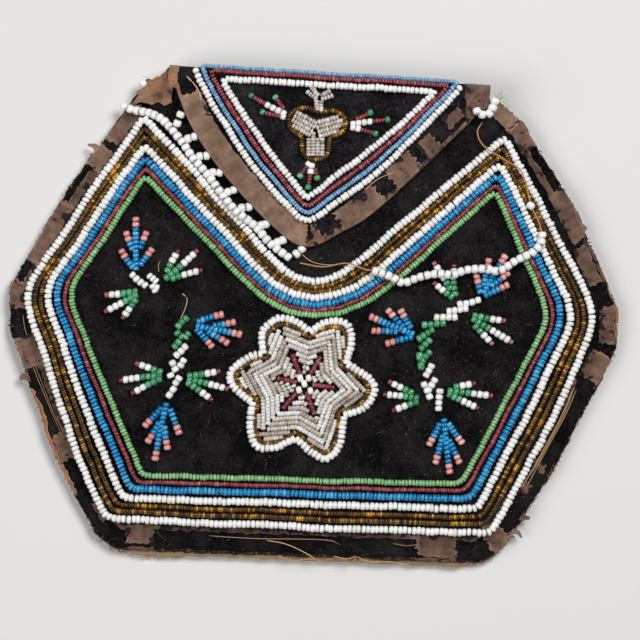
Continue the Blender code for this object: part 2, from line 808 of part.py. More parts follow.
def ridge_rings(path, width, height, surface, closed, ends=1.0):
    """Sections of a row of beads that lies on a surface, a gap above the cloth."""
    rings = []
    for index, point in enumerate(path):
        spot, up = surface_frame(surface, point)
        before = path[index - 1] if closed or index else point
        follow = path[(index + 1) % len(path)] if closed or index < len(path) - 1 else point
        along = (follow - before).normalized()
        side = up.cross(Vector((along.x, along.y, 0.0))).normalized()
        at_end = not closed and index in (0, len(path) - 1)
        half = width / 2 * (ends if at_end else 1.0)
        tall = height * (0.5 + 0.5 * ends if at_end else 1.0)
        base = spot + up * GAP
        rings.append([
            base - side * half,
            base - side * half * 0.72 + up * tall,
            base + side * half * 0.72 + up * tall,
            base + side * half,
        ])
    return rings


def row(name, path, bead, finish, surface, closed):
    """A sewn row of beads as one low ridge."""
    rings = ridge_rings(path, bead, bead * BEAD_HEIGHT_SHARE, surface, closed)
    tube(name, rings, closed, finish, 60.0)


def between(outer, inner, share):
    """Corners that lie a share of the way from one row's corners to another's."""
    return [
        (mix(Vector(a), Vector(b), share), mix(cut_a, cut_b, share))
        for (a, cut_a), (b, cut_b) in zip(outer, inner)
    ]


def row_shares(beads):
    """Where each row lies between the first and the last, with equal gaps between them."""
    places = [0.0]
    for before, bead in zip(beads, beads[1:]):
        places.append(places[-1] + (before + bead) / 2 + ROW_GAP)
    return [place / places[-1] for place in places]


def face_row_paths():
    """The path of each row round the face, from the outermost in."""
    paths = []
    for share in row_shares([bead for _, bead, _ in FACE_ROWS]):
        corners = between(FACE_ROW_OUTER, FACE_ROW_INNER, share)
        paths.append(draped(rounded(corners, closed=True), face, ROW_STEP, closed=True))
    return paths


def face_rows():
    for (name, bead, finish), path in zip(FACE_ROWS, face_row_paths()):
        row(name, path, bead, finish, face, True)


def flap_rows():
    shares = row_shares([bead for _, bead, _, _ in FLAP_ROWS])
    for (name, bead, finish, past_crease), share in zip(FLAP_ROWS, shares):
        corners = between(FLAP_ROW_OUTER, FLAP_ROW_INNER, share)
        closed = past_crease is not None
        if closed:
            for (end, _), (before, _) in ((corners[0], corners[1]), (corners[-1], corners[-2])):
                reach = (crease(end.x) + past_crease - before.y) / (end.y - before.y)
                end.xy = mix(before, end, reach)
        path = draped(rounded(corners, closed), flap_top, ROW_STEP, closed, DRAPE_SAG * 0.7)
        row(name, path, bead, finish, flap_top, closed)


def fused(name, bodies, finish):
    """Overlapping bodies made one by a union, under the first one's name."""
    first, rest = bodies[0], bodies[1:]
    group = bpy.data.collections.new(name + "_parts")
    for body in rest:
        group.objects.link(body)
    union = first.modifiers.new("union", "BOOLEAN")
    union.operation = "UNION"
    union.operand_type = "COLLECTION"
    union.collection = group
    union.solver = "EXACT"
    bpy.context.view_layer.update()
    graph = bpy.context.evaluated_depsgraph_get()
    mesh = bpy.data.meshes.new_from_object(first.evaluated_get(graph))
    for body in bodies:
        bpy.data.objects.remove(body)
    bpy.data.collections.remove(group)
    mesh.materials.clear()
    mesh.materials.append(material(finish))
    mesh.shade_smooth()
    mesh.set_sharp_from_angle(angle=math.radians(60.0))
    made = bpy.data.objects.new(name, mesh)
    bpy.context.scene.collection.objects.link(made)
    return made


def finger(name, foot, tip, width, height, finish, surface):
    """One finger of a spray: a short bar with narrowed ends."""
    shoulder = min(0.3, width * 0.6 / (tip - foot).length)
    path = [foot, mix(foot, tip, shoulder), mix(tip, foot, shoulder), tip]
    rings = ridge_rings(path, width, height, surface, False, 0.45)
    return tube(name, rings, False, finish)


def spray(name, fingers):
    """A fan of fingers that meet at its foot."""
    on_flap = name.startswith("flap")
    surface = flap_top if on_flap else face
    sprig = "sprig" in name or on_flap
    width = SPRIG_FINGER if sprig else SPRAY_FINGER
    finish = SPRIG_FINISH if sprig else SPRAY_FINISH
    bodies = []
    for index, (foot_x, foot_y, tip_x, tip_y) in enumerate(fingers):
        tall = width * BEAD_HEIGHT_SHARE * (1 + 0.06 * index)
        foot, tip = Vector((foot_x, foot_y)), Vector((tip_x, tip_y))
        bodies.append(finger(f"{name}_{index}", foot, tip, width, tall, finish, surface))
    fused(name, bodies, finish)


def stem(name, finish, points):
    path = [Vector(point) for point in points]
    height = WHITE_BEAD * BEAD_HEIGHT_SHARE
    rings = ridge_rings(path, STEM_WIDTH, height, face, False, 0.7)
    tube(name, rings, False, finish)


def lobed(angles, tip, notch, roundness, steps):
    """A closed outline of lobes: for each step its angle and its distance from the middle."""
    turns = [math.radians(angle) for angle in angles]
    outline = []
    for index, start in enumerate(turns):
        end = turns[(index + 1) % len(turns)]
        end += math.tau if end < start else 0.0
        for step in range(steps):
            share = step / steps
            bulge = abs(math.cos(math.pi * share)) ** roundness
            outline.append((mix(start, end, share), mix(notch, tip, bulge)))
    return outline


def ring_path(middle, outline, drawn_in=0.0):
    """The outline placed round its middle and drawn in by an even width."""
    path = [
        Vector(middle) + Vector((math.cos(angle), math.sin(angle))) * reach
        for angle, reach in outline
    ]
    return [
        point + inward(path, index, closed=True) * drawn_in for index, point in enumerate(path)
    ]


def pad(name, path, height, finish, surface):
    """A low domed patch of beads inside an outline."""
    middle = sum(path, Vector((0.0, 0.0))) / len(path)
    count = len(path)
    verts = []
    for shrink, lift in ((0.0, 0.0), (0.10, 0.8)):
        for point in path:
            spot = mix(point, middle, shrink)
            verts.append((spot.x, spot.y, surface(spot.x, spot.y) + GAP + height * lift))
    verts.append((middle.x, middle.y, surface(middle.x, middle.y) + GAP + height))
    faces = [tuple(range(count))]
    for index in range(count):
        follow = (index + 1) % count
        faces.append((index, follow, count + follow, count + index))
        faces.append((count + index, count + follow, 2 * count))
    return solid(name, verts, faces, finish, 60.0)


def petal_outline(index):
    """A pointed petal from near the heart to just inside the flower's outline, open at its ray."""
    angle = math.radians(PETAL_ANGLES[index])
    along = Vector((math.cos(angle), math.sin(angle)))
    side = Vector((-along.y, along.x))
    reach = PETAL_TIP - WHITE_BEAD / 2 - BRONZE_BEAD * 1.5 - PETAL_MARGIN * 2
    middle = Vector(FLOWER)
    root, tip = middle + along * PETAL_ROOT, middle + along * reach
    belly = mix(root, tip, 0.55)
    brow = mix(root, tip, 0.82)
    half, narrow = PETAL_NOTCH * 0.32, PETAL_NOTCH * 0.22
    slot = MAROON_BEAD / 2 + GAP
    ray_end = middle + along * (RAY_LENGTH + GAP)
    return [
        ray_end + side * slot, root + side * slot, root + side * slot * 2,
        belly + side * half, brow + side * narrow, tip + side * PETAL_MARGIN,
        tip - side * PETAL_MARGIN, brow - side * narrow, belly - side * half,
        root - side * slot * 2, root - side * slot, ray_end - side * slot,
    ]


def flower():
    outline = lobed(PETAL_ANGLES, PETAL_TIP, PETAL_NOTCH, 1.0, OUTLINE_STEPS)
    inner = WHITE_BEAD / 2 + GAP + BRONZE_BEAD / 2
    row("flower_outline_white", ring_path(FLOWER, outline), WHITE_BEAD, "white_bead", face, True)
    path = ring_path(FLOWER, outline, inner)
    row("flower_outline_bronze", path, BRONZE_BEAD, "bronze_bead", face, True)
    for index in range(len(PETAL_ANGLES)):
        path = petal_outline(index)
        pad(f"flower_petal_{index + 1}", path, PETAL_BEAD, "clear_bead", face)
    turns = [math.tau * step / HEART_SIDES for step in range(HEART_SIDES)]
    heart = ring_path(FLOWER, [(turn, HEART) for turn in turns])
    bodies = [pad("flower_heart_middle", heart, WHITE_BEAD, "white_bead", face)]
    for index, angle in enumerate(PETAL_ANGLES):
        turn = math.radians(angle)
        along = Vector((math.cos(turn), math.sin(turn)))
        foot, tip = Vector(FLOWER) + along * HEART * 0.5, Vector(FLOWER) + along * RAY_LENGTH
        tall = MAROON_BEAD * (0.9 + 0.03 * index)
        bodies.append(finger(f"ray_{index}", foot, tip, MAROON_BEAD, tall, "maroon_bead", face))
    fused("flower_heart", bodies, "maroon_bead")


def trefoil():
    """The flap's three-lobed motif: an outline, the petals inside it and a forked leaf above."""
    outline = lobed(sorted(LOBE_ANGLES), LOBE_REACH, LOBE_WAIST, 0.6, LOBE_STEPS)
    path = ring_path(TREFOIL, outline)
    row("trefoil_outline", path, BRONZE_BEAD, "bronze_bead", flap_top, True)
    inner = ring_path(TREFOIL, outline, BRONZE_BEAD / 2 + GAP)
    pad("trefoil_petals", inner, PETAL_BEAD, "clear_bead", flap_top)
    bodies = []
    for index, (foot_x, foot_y, tip_x, tip_y) in enumerate((LEAF_STEM, *LEAF_LOBES)):
        foot, tip = Vector((foot_x, foot_y)), Vector((tip_x, tip_y))
        width = BRONZE_BEAD if index == 0 else WHITE_BEAD
        tall = PETAL_BEAD * (1 + 0.05 * index)
        name = f"leaf_{index}"
        bodies.append(finger(name, foot, tip, width, tall, "clear_bead", flap_top))
    fused("trefoil_leaf", bodies, "clear_bead")


def bead_string(name, places, bead, finish, sides=5):
    """Beads threaded end to end through the places given, as one tube that swells at each bead."""
    rings = []
    for index, place in enumerate(places):
        before, follow = places[max(index - 1, 0)], places[min(index + 1, len(places) - 1)]
        along = (follow - before).normalized()
        side = along.cross(Vector((0.0, 0.0, 1.0))).normalized()
        up = side.cross(along)
        stations = BEAD_STATIONS if index < len(places) - 1 else BEAD_STATIONS + BEAD_END
        for offset, share in stations:
            middle = place + along * EDGING_PITCH * offset
            radius = bead / 2 * share
            rings.append([
                middle + side * radius * math.cos(turn) + up * radius * math.sin(turn)
                for turn in (math.tau * (corner + 0.5) / sides for corner in range(sides))
            ])
    return tube(name, rings, False, finish, 45.0)


def walk(path, distance):
    """The point that far along a path, and the path's direction there."""
    for start, end in zip(path, path[1:]):
        length = (end - start).length
        if distance <= length:
            break
        distance -= length
    along = (end - start).normalized()
    return start + along * distance, along


def flap_edging():
    """The picot edging along the flap's left edge, with each bead of the line and its picots."""
    edge = [Vector((FOLD_ENDS[0], crease(FOLD_ENDS[0])))]
    edge += [Vector(left) for left, _ in FLAP_EDGES]
    reach = sum((b - a).length for a, b in zip(edge, edge[1:]))
    obstacles = bead_obstacles()
    radius = EDGING_BEAD / 2
    route = [Vector(point) for point in EDGING_SHOULDER]
    picots = []
    for index in range(PICOT_COUNT):
        point, along = walk(edge, min(reach, PICOT_START + PICOT_PITCH * index))
        away = Vector((along.y, -along.x))
        route.append(point + away * EDGING_REACH)
        height = flap_top(point.x, point.y) - VELVET / 2
        tip = point + away * (GAP + radius)
        picots.append((route[-1], Vector((tip.x, tip.y, height))))
    places = []
    for point in smooth_route(route, EDGING_PITCH):
        places.append(Vector((point.x, point.y, resting_height(point, radius, obstacles))))
    bodies = [bead_string("edging_line", places, EDGING_BEAD, "white_bead")]
    for index, (foot, tip) in enumerate(picots):
        start = min(places, key=lambda place: (place.xy - foot).length)
        picot = [mix(start, tip, share) for share in PICOT_BEADS]
        bead = EDGING_BEAD * PICOT_SHRINK
        bodies.append(bead_string(f"picot_{index}", picot, bead, "white_bead"))
    fused("flap_edging", bodies, "white_bead")


def corner_loop():
    """The scrap of edging that still hangs at the flap's right corner."""
    line = smooth_route(CORNER_LOOP, EDGING_PITCH)
    height = FOLD_TOP + RIBBON + 2 * GAP + EDGING_BEAD / 2
    places = [Vector((point.x, point.y, height)) for point in line]
    bead_string("corner_loop", places, EDGING_BEAD, "white_bead")


def bead_obstacles():
    """Every line of sewn beads on the face as a stretch and a half width, for what lies on top of it."""
    stretches = []
    for (_, bead, _), path in zip(FACE_ROWS, face_row_paths()):
        stretches += [(a, b, bead / 2, bead) for a, b in zip(path, path[1:] + path[:1])]
    for name, fingers in FINGERS.items():
        if name.startswith("flap"):
            continue
        for foot_x, foot_y, tip_x, tip_y in fingers:
            ends = Vector((foot_x, foot_y)), Vector((tip_x, tip_y))
            stretches.append((*ends, SPRAY_FINGER / 2, SPRAY_FINGER * 1.3))
    for _, points in STEMS.values():
        path = [Vector(point) for point in points]
        stretches += [(a, b, STEM_WIDTH / 2, WHITE_BEAD) for a, b in zip(path, path[1:])]
    return stretches


def distance_to(point, start, end):
    along = end - start
    share = min(1.0, max(0.0, (point - start).dot(along) / along.length_squared))
    return (point - start - along * share).length


def resting_height(point, radius, obstacles):
    """Height of a round thread or bead that rests on the face and on the sewn beads under it."""
    height = face(point.x, point.y) + GAP
    if inset(point.x, point.y) < BINDING_FRONT + radius:
        height += BINDING_OUTSIDE
    for start, end, half, tall in obstacles:
        if distance_to(point, start, end) < half + radius:
            top = face(point.x, point.y) + GAP + tall * BEAD_HEIGHT_SHARE + GAP
            height = max(height, top)
    return height + radius


def strand_route():
    """The loose strand's centre line, eased so that it bridges the dips between what it rests on."""
    flat = smooth_route(STRAND_ROUTE, STRAND_REST_STEP)
    obstacles = bead_obstacles()
    radius = EDGING_BEAD / 2
    rest = [resting_height(point, radius, obstacles) for point in flat]
    last = len(rest) - 1
    held = [max(rest[max(0, i - 2):i + 3]) for i in range(last + 1)]
    eased = []
    for i in range(last + 1):
        span = held[max(0, i - STRAND_EASE):i + STRAND_EASE + 1]
        eased.append(max(rest[i], sum(span) / len(span)))
    return [Vector((p.x, p.y, z)) for p, z in zip(flat, eased)]


def loose_strand():
    """The torn length of edging: a thread with its beads close together along the middle stretch."""
    fine = strand_route()
    first, last = (share * (len(fine) - 1) for share in STRAND_BEADS)
    stops = []
    place = 0.0
    while place < len(fine) - 1:
        beaded = first <= place <= last
        stops.append((place, beaded))
        place += (EDGING_PITCH / 2 if beaded else STRAND_STEP) / STRAND_REST_STEP
    stops.append((len(fine) - 1, False))
    curve = bpy.data.curves.new("loose_strand", "CURVE")
    curve.dimensions = "3D"
    curve.bevel_depth = THREAD / 2
    curve.bevel_resolution = 2
    curve.use_fill_caps = True
    spline = curve.splines.new("POLY")
    spline.points.add(len(stops) - 1)
    beads = 0
    for index, (place, beaded) in enumerate(stops):
        low = min(int(place), len(fine) - 2)
        spot = mix(fine[low], fine[low + 1], place - low)
        spline.points[index].co = (*spot, 1.0)
        swell = beaded and beads % 2 == 1
        spline.points[index].radius = EDGING_BEAD / THREAD * 0.94 if swell else 1.0
        beads += beaded
    curve.materials.append(material("white_bead"))
    made = bpy.data.objects.new("loose_strand", curve)
    bpy.context.scene.collection.objects.link(made)


def main():
    clear_scene()
    back_panel()
    back_lining()
    front_layers()
    edge_binding()
    mouth_binding()
    flap()
    flap_binding()
    face_rows()
    flap_rows()
    flower()
    for name, fingers in FINGERS.items():
        spray(name, fingers)
    for name, (finish, points) in STEMS.items():
        stem(name, finish, points)
    trefoil()
    flap_edging()
    corner_loop()
    loose_strand()


main()
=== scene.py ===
import math
import random
from collections import namedtuple

import bmesh
import bpy
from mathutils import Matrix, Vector, kdtree, noise


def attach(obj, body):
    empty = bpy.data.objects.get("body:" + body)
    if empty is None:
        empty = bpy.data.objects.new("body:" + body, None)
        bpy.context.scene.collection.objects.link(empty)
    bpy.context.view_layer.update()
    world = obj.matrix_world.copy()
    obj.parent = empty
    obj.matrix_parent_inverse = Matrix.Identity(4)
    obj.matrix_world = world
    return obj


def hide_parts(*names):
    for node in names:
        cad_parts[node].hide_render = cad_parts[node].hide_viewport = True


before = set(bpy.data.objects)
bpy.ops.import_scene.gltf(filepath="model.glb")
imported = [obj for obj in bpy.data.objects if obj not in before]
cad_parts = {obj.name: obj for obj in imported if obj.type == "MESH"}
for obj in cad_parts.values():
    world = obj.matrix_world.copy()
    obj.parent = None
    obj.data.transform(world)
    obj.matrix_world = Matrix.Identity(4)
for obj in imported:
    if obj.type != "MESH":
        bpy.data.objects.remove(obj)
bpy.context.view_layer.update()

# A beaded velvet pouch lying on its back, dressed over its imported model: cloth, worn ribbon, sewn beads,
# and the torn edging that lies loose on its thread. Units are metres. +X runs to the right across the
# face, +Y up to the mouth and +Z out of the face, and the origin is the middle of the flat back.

MM = 0.001

# Cloth, clearances and the rise of the face, as the part's source has them
VELVET = 0.0009
LINEN = 0.0003
LINING = 0.0003
RIBBON = 0.0003
GAP = 0.0003
POCKET_DEPTH = 0.0052
SEAM_BAND = 0.0030
FACE_SLOPE = 0.0130
SHOULDER_SLOPE = 0.0050
MOUTH_TILT = 0.0022
OUTLINE = {
    "mouth": (0.0620, -0.0455, 0.0492),
    "shoulder": (0.0560, -0.0508, 0.0552),
    "arm": (0.0340, -0.0660, 0.0702),
    "waist_top": (0.0060, -0.0812, 0.0834),
    "waist_foot": (-0.0050, -0.0808, 0.0834),
    "hip": (-0.0390, -0.0676, 0.0672),
    "base": (-0.0600, -0.0556, 0.0545),
    "hem": (-0.0640, -0.0500, 0.0490),
}
BACK_LINING_INSET = 0.0090
BINDING_BACK = 0.0050
MOUTH_BINDING = 0.0040
FOLD_ENDS = (-0.0390, 0.0455)
FOLD_PAST_MOUTH = 0.0014
FLAP_EDGES = (
    ((-0.0365, 0.0570), (0.0426, 0.0565)),
    ((-0.0325, 0.0490), (0.0355, 0.0490)),
    ((-0.0250, 0.0390), (0.0270, 0.0400)),
    ((-0.0150, 0.0286), (0.0150, 0.0284)),
    ((-0.0070, 0.0218), (0.0068, 0.0233)),
    ((-0.0030, 0.0194), (0.0012, 0.0198)),
)
FOLD_REACH = 0.0032
FLAP_RISE = 0.0007
FLAP_LINING_INSET = 0.0060

RIM_BACK = GAP + RIBBON + GAP
RIM_FRONT = RIM_BACK + VELVET + GAP + LINEN + GAP + VELVET
BACK_LINING_BASE = VELVET + GAP
FRONT_STACK = LINING + GAP + LINEN + GAP + VELVET
FACE_TOP = BACK_LINING_BASE + LINING + POCKET_DEPTH + FRONT_STACK
FLAP_TIP_TOP = FACE_TOP + GAP + LINING + GAP + VELVET
FOLD_TOP = FLAP_TIP_TOP + FLAP_RISE
BINDING_OUTSIDE = GAP + RIBBON

# Rows of the face and the flap by their corners, each with how far the corner is rounded
FACE_ROW_OUTER = (
    ((-0.0461, 0.0526), 0.0015),
    ((-0.0768, 0.0046), 0.0060),
    ((-0.0606, -0.0385), 0.0040),
    ((-0.0522, -0.0552), 0.0020),
    ((0.0508, -0.0553), 0.0020),
    ((0.0648, -0.0270), 0.0040),
    ((0.0770, 0.0040), 0.0060),
    ((0.0505, 0.0509), 0.0015),
    ((0.0003, 0.0050), 0.0160),
)
FACE_ROW_INNER = (
    ((-0.0453, 0.0370), 0.0015),
    ((-0.0653, 0.0046), 0.0060),
    ((-0.0530, -0.0225), 0.0040),
    ((-0.0432, -0.0436), 0.0020),
    ((0.0425, -0.0425), 0.0020),
    ((0.0545, -0.0180), 0.0040),
    ((0.0649, 0.0036), 0.0060),
    ((0.0487, 0.0364), 0.0015),
    ((0.0013, -0.0092), 0.0290),
)
FLAP_ROW_OUTER = (
    ((-0.0330, 0.0656), 0.0),
    ((-0.0277, 0.0565), 0.0040),
    ((-0.0182, 0.0420), 0.0060),
    ((-0.0020, 0.0254), 0.0040),
    ((0.0144, 0.0378), 0.0060),
    ((0.0272, 0.0510), 0.0040),
    ((0.0382, 0.0636), 0.0),
)
FLAP_ROW_INNER = (
    ((-0.0262, 0.0645), 0.0008),
    ((-0.0216, 0.0572), 0.0040),
    ((-0.0130, 0.0452), 0.0060),
    ((-0.0018, 0.0325), 0.0008),
    ((0.0100, 0.0422), 0.0060),
    ((0.0224, 0.0530), 0.0040),
    ((0.0318, 0.0624), 0.0008),
)
ROW_GAP = 0.0003

# Each kind of bead: finish, width across its thread, length along it, sides, and whether its hole shows
Kind = namedtuple("Kind", "finish width length sides holed")
WHITE = Kind("white_bead", 0.00220, 0.00124, 8, False)
BRONZE = Kind("bronze_bead", 0.00152, 0.00066, 6, False)
BLUE = Kind("blue_bead", 0.00200, 0.00106, 8, False)
MAROON = Kind("maroon_bead", 0.00134, 0.00062, 6, False)
PALE_GREEN = Kind("pale_green_bead", 0.00172, 0.00092, 8, False)
FLAP_WHITE = Kind("white_bead", 0.00188, 0.00118, 8, False)
FLAP_BLUE = Kind("light_blue_bead", 0.00142, 0.00078, 6, False)
FLAP_RED = Kind("maroon_bead", 0.00142, 0.00078, 6, False)
CLEAR = Kind("clear_bead", 0.00134, 0.00086, 8, False)
SPRAY_BLUE = Kind("blue_bead", 0.00188, 0.00118, 8, True)
SPRAY_PINK = Kind("pink_bead", 0.00198, 0.00140, 8, True)
SPRIG_GREEN = Kind("green_bead", 0.00196, 0.00150, 8, True)
SPRIG_WHITE = Kind("white_bead", 0.00198, 0.00155, 8, True)
SPRIG_RED = Kind("maroon_bead", 0.00140, 0.00110, 8, True)
EDGING = Kind("white_bead", 0.00235, 0.00185, 10, True)
SMALL_CLEAR = CLEAR._replace(width=0.00138, length=0.00084)
RAY_RED = MAROON._replace(width=0.00138, length=0.00066)
HEART_WHITE = SPRIG_WHITE._replace(width=0.0021)
FLAP_SPRIG_WHITE = SPRIG_WHITE._replace(width=0.0018)
FLAP_SPRIG_RED = MAROON._replace(width=0.0014, length=0.00085)
FLAP_SPRIG_GREEN = SPRIG_GREEN._replace(width=0.0018)

# Colours as sRGB from 0 to 255: dark, usual and light bead of each finish
GLASS = {
    "white_bead": ((234, 232, 225), (252, 251, 249), (254, 254, 253)),
    # The bronze's light colour stands for painted glints
    "bronze_bead": ((66, 48, 30), (122, 90, 46), (228, 170, 64)),
    "blue_bead": ((6, 104, 162), (14, 138, 198), (92, 186, 228)),
    "maroon_bead": ((102, 30, 38), (142, 52, 60), (192, 106, 110)),
    "pale_green_bead": ((104, 158, 98), (134, 188, 124), (160, 208, 150)),
    "green_bead": ((44, 122, 78), (74, 156, 106), (104, 182, 136)),
    "light_blue_bead": ((88, 140, 188), (122, 172, 212), (160, 202, 230)),
    # The clear glass's light colour is partly its own pale colour, partly a painted highlight streak
    "clear_bead": ((146, 128, 114), (218, 206, 194), (254, 253, 251)),
    "pink_bead": ((214, 132, 126), (232, 156, 150), (242, 184, 178)),
}


def mix(a, b, share):
    return a + (b - a) * share


def clamped(share):
    return min(1.0, max(0.0, share))


def ease(share):
    """A share from 0 to 1 turned smoothly at both ends."""
    share = clamped(share)
    return share * share * (3 - 2 * share)


def nearest(items, share):
    """The item nearest to a share of the way through a list."""
    return items[round(share * (len(items) - 1))]


def wander(x, y, scale, seed=0.0):
    """Smooth chance from about -1 to 1 that changes over the distance given."""
    return noise.noise(Vector((x / scale, y / scale, seed * 7.31 + 0.5)))


def linear(colour):
    """An sRGB colour from 0 to 255 as the linear colour that a shader takes."""
    def channel(value):
        share = value / 255
        return share / 12.92 if share <= 0.04045 else ((share + 0.055) / 1.055) ** 2.4

    return (*(channel(value) for value in colour), 1.0)


def left_of(along):
    """The direction to the left of one in the plane."""
    return Vector((-along.y, along.x))


def heading(turn):
    return Vector((math.cos(turn), math.sin(turn)))


def at_height(spot, height):
    return Vector((spot.x, spot.y, height))


def on_surface(spot, surface, height=0.0):
    """The place at a height over a surface."""
    return at_height(spot, surface(spot.x, spot.y) + height)


# Surfaces of the pouch

def half_outline(side):
    points = [Vector((level[side], level[0])) for level in OUTLINE.values()]
    points[0].y += MOUTH_TILT / 2 if side == 1 else -MOUTH_TILT / 2
    return points


def finished_outline():
    """The pouch's outline from the mouth's left corner down, along the hem and up to its right corner."""
    return half_outline(1) + half_outline(2)[::-1]


def inward(path, index):
    """The inward normal at a point of an open outline that runs anticlockwise, lengthened at corners."""
    here = path[index]
    before = path[index - 1] if index else here - (path[index + 1] - here)
    follow = path[index + 1] if index < len(path) - 1 else here * 2 - before
    first = (here - before).normalized()
    second = (follow - here).normalized()
    normal = Vector((-first.y - second.y, first.x + second.x)).normalized()
    return normal / max(0.5, normal.dot(left_of(first)))


def sewn_outline():
    path = finished_outline()
    return [point + inward(path, index) * BINDING_OUTSIDE for index, point in enumerate(path)]


SEWN = sewn_outline()


def sewn_sides():
    """Each sewn side as a point on it, its inward normal and how far the face takes to rise from it."""
    sides = []
    for index, (start, end) in enumerate(zip(SEWN, SEWN[1:])):
        along = (end - start).normalized()
        slope = SHOULDER_SLOPE if index in (0, len(SEWN) - 2) else FACE_SLOPE
        sides.append((start.x, start.y, -along.y, along.x, slope))
    return sides


SIDES = sewn_sides()


def mouth_edge(x):
    left, right = SEWN[0], SEWN[-1]
    return mix(left.y, right.y, (x - left.x) / (right.x - left.x))


def crease(x):
    return mouth_edge(x) + FOLD_PAST_MOUTH


def inset(x, y):
    """How far a point lies in from the nearest sewn side."""
    return min((x - px) * nx + (y - py) * ny for px, py, nx, ny, _ in SIDES)


def filled(x, y):
    share = min(((x - px) * nx + (y - py) * ny - SEAM_BAND) / slope for px, py, nx, ny, slope in SIDES)
    return math.sin(clamped(share) * math.pi / 2)


def pucker(x, y):
    """The small rise and fall of cloth that has been stitched all over."""
    depth = 0.00020 * wander(x, y, 0.011, 1) + 0.00008 * wander(x, y, 0.004, 2)
    return depth * ease((inset(x, y) - 0.001) / 0.004)


def face(x, y):
    """Top of the front velvet."""
    return RIM_FRONT + (FACE_TOP - RIM_FRONT) * filled(x, y) + pucker(x, y)


def back(x, y):
    """Underside of the back velvet, which is flat but for the step over the ribbon."""
    share = (BACK_LINING_INSET - GAP - inset(x, y)) / (BACK_LINING_INSET - BINDING_BACK - 2 * GAP)
    return RIM_BACK * clamped(share)


def flap_top(x, y):
    """Top of the flap's velvet, which falls a little to the tip and rolls over at the fold."""
    fold, tip = crease(x), FLAP_EDGES[-1][0][1]
    if y <= fold:
        level = FLAP_TIP_TOP + FLAP_RISE * max(0.0, (y - tip) / (fold - tip))
        rumple = 0.00012 * wander(x, y, 0.010, 3) + 0.00005 * wander(x, y, 0.004, 4)
        return level + rumple * ease((fold - y) / 0.004)
    over = min(1.0, (y - fold) / FOLD_REACH)
    return FOLD_TOP / 2 * (1 + math.sqrt(1 - over * over))


def lifted(surface, height):
    return lambda x, y: surface(x, y) + height


# Paths

CORNER_STEPS = 6
CURVE_PARTS = 12
SOFT_SPAN = 5


def rounded(corners, closed):
    """A path through corners, each a place and a cut, with every cut corner turned as a short curve."""
    points = [Vector(place) for place, _ in corners]
    path = []
    for index, (_, cut) in enumerate(corners):
        corner = points[index]
        inner = closed or 0 < index < len(corners) - 1
        if cut <= 0 or not inner:
            path.append(corner)
            continue
        before = corner + (points[index - 1] - corner).normalized() * cut
        after = corner + (points[(index + 1) % len(points)] - corner).normalized() * cut
        for step in range(CORNER_STEPS + 1):
            share = step / CORNER_STEPS
            path.append(mix(mix(before, corner, share), mix(corner, after, share), share))
    return path


def path_length(path):
    return sum((b - a).length for a, b in zip(path, path[1:]))


def resampled(path, count):
    """Points an even distance apart along a path, its ends among them."""
    total = path_length(path)
    made, walked, wanted = [path[0].copy()], 0.0, total / count
    for a, b in zip(path, path[1:]):
        length = (b - a).length
        while length > 0 and len(made) < count and walked + length >= wanted * len(made):
            made.append(mix(a, b, (wanted * len(made) - walked) / length))
        walked += length
    return made + [path[-1].copy()] if len(made) == count else made


def smooth_curve(points, count):
    """Evenly spaced points on the smooth curve through the points given."""
    places = [Vector(point) for point in points]
    ends = [places[0] * 2 - places[1], *places, places[-1] * 2 - places[-2]]
    fine = []
    for a, b, c, d in zip(ends, ends[1:], ends[2:], ends[3:]):
        for part in range(CURVE_PARTS):
            t = part / CURVE_PARTS
            fine.append(0.5 * (2 * b + (c - a) * t + (2 * a - 5 * b + 4 * c - d) * t * t
                               + (3 * b - a - 3 * c + d) * t * t * t))
    fine.append(places[-1])
    return resampled(fine, count)


def softened(path, reach):
    """The path with its corners eased by averaging over the distance given, its ends held."""
    count = max(8, round(path_length(path) / (reach / SOFT_SPAN)))
    fine = resampled(path, count)
    made = []
    for index in range(len(fine)):
        span = min(SOFT_SPAN, index, len(fine) - 1 - index)
        near = fine[index - span:index + span + 1]
        made.append(sum(near, Vector((0.0,) * len(fine[0]))) / len(near))
    return made


# The distance over which the outline's corners are eased
CORNER_SOFTNESS = 0.0016
EDGE = softened(finished_outline(), CORNER_SOFTNESS)
EDGE_LENGTH = path_length(EDGE)


def edge_x(side, height):
    """How far left or right the outline lies at a height."""
    half = EDGE[:len(EDGE) // 2] if side < 0 else EDGE[len(EDGE) // 2:]
    above = min((p for p in half if p.y >= height), key=lambda p: p.y, default=None)
    below = max((p for p in half if p.y <= height), key=lambda p: p.y, default=None)
    if above is None or below is None or above.y == below.y:
        return (above or below).x
    return mix(below.x, above.x, (height - below.y) / (above.y - below.y))


def running_length(places, unit=1.0):
    """How far along a line each of its places lies."""
    marks = [0.0]
    for a, b in zip(places, places[1:]):
        marks.append(marks[-1] + (b - a).length / unit)
    return marks


class Walk:
    """Places on a path by their distance from its start."""

    def __init__(self, path):
        self.path = path
        self.marks = running_length(path)
        self.index = 0

    def at(self, distance):
        distance = min(max(distance, 0.0), self.marks[-1])
        while self.index > 0 and self.marks[self.index] > distance:
            self.index -= 1
        while self.index < len(self.path) - 2 and self.marks[self.index + 1] < distance:
            self.index += 1
        a, b = self.path[self.index], self.path[self.index + 1]
        length = self.marks[self.index + 1] - self.marks[self.index]
        share = (distance - self.marks[self.index]) / length if length else 0.0
        return mix(a, b, share), (b - a).normalized()


# Materials

def blank(name, roughness, colour=None, metallic=0.0, specular=0.5):
    """A new material and its shader, with the values that are the same all over it."""
    made = bpy.data.materials.new(name)
    made.use_nodes = True
    shader = made.node_tree.nodes["Principled BSDF"]
    if colour:
        shader.inputs["Base Color"].default_value = linear(colour)
    shader.inputs["Roughness"].default_value = roughness
    shader.inputs["Metallic"].default_value = metallic
    shader.inputs["Specular IOR Level"].default_value = specular
    return made, made.node_tree, shader


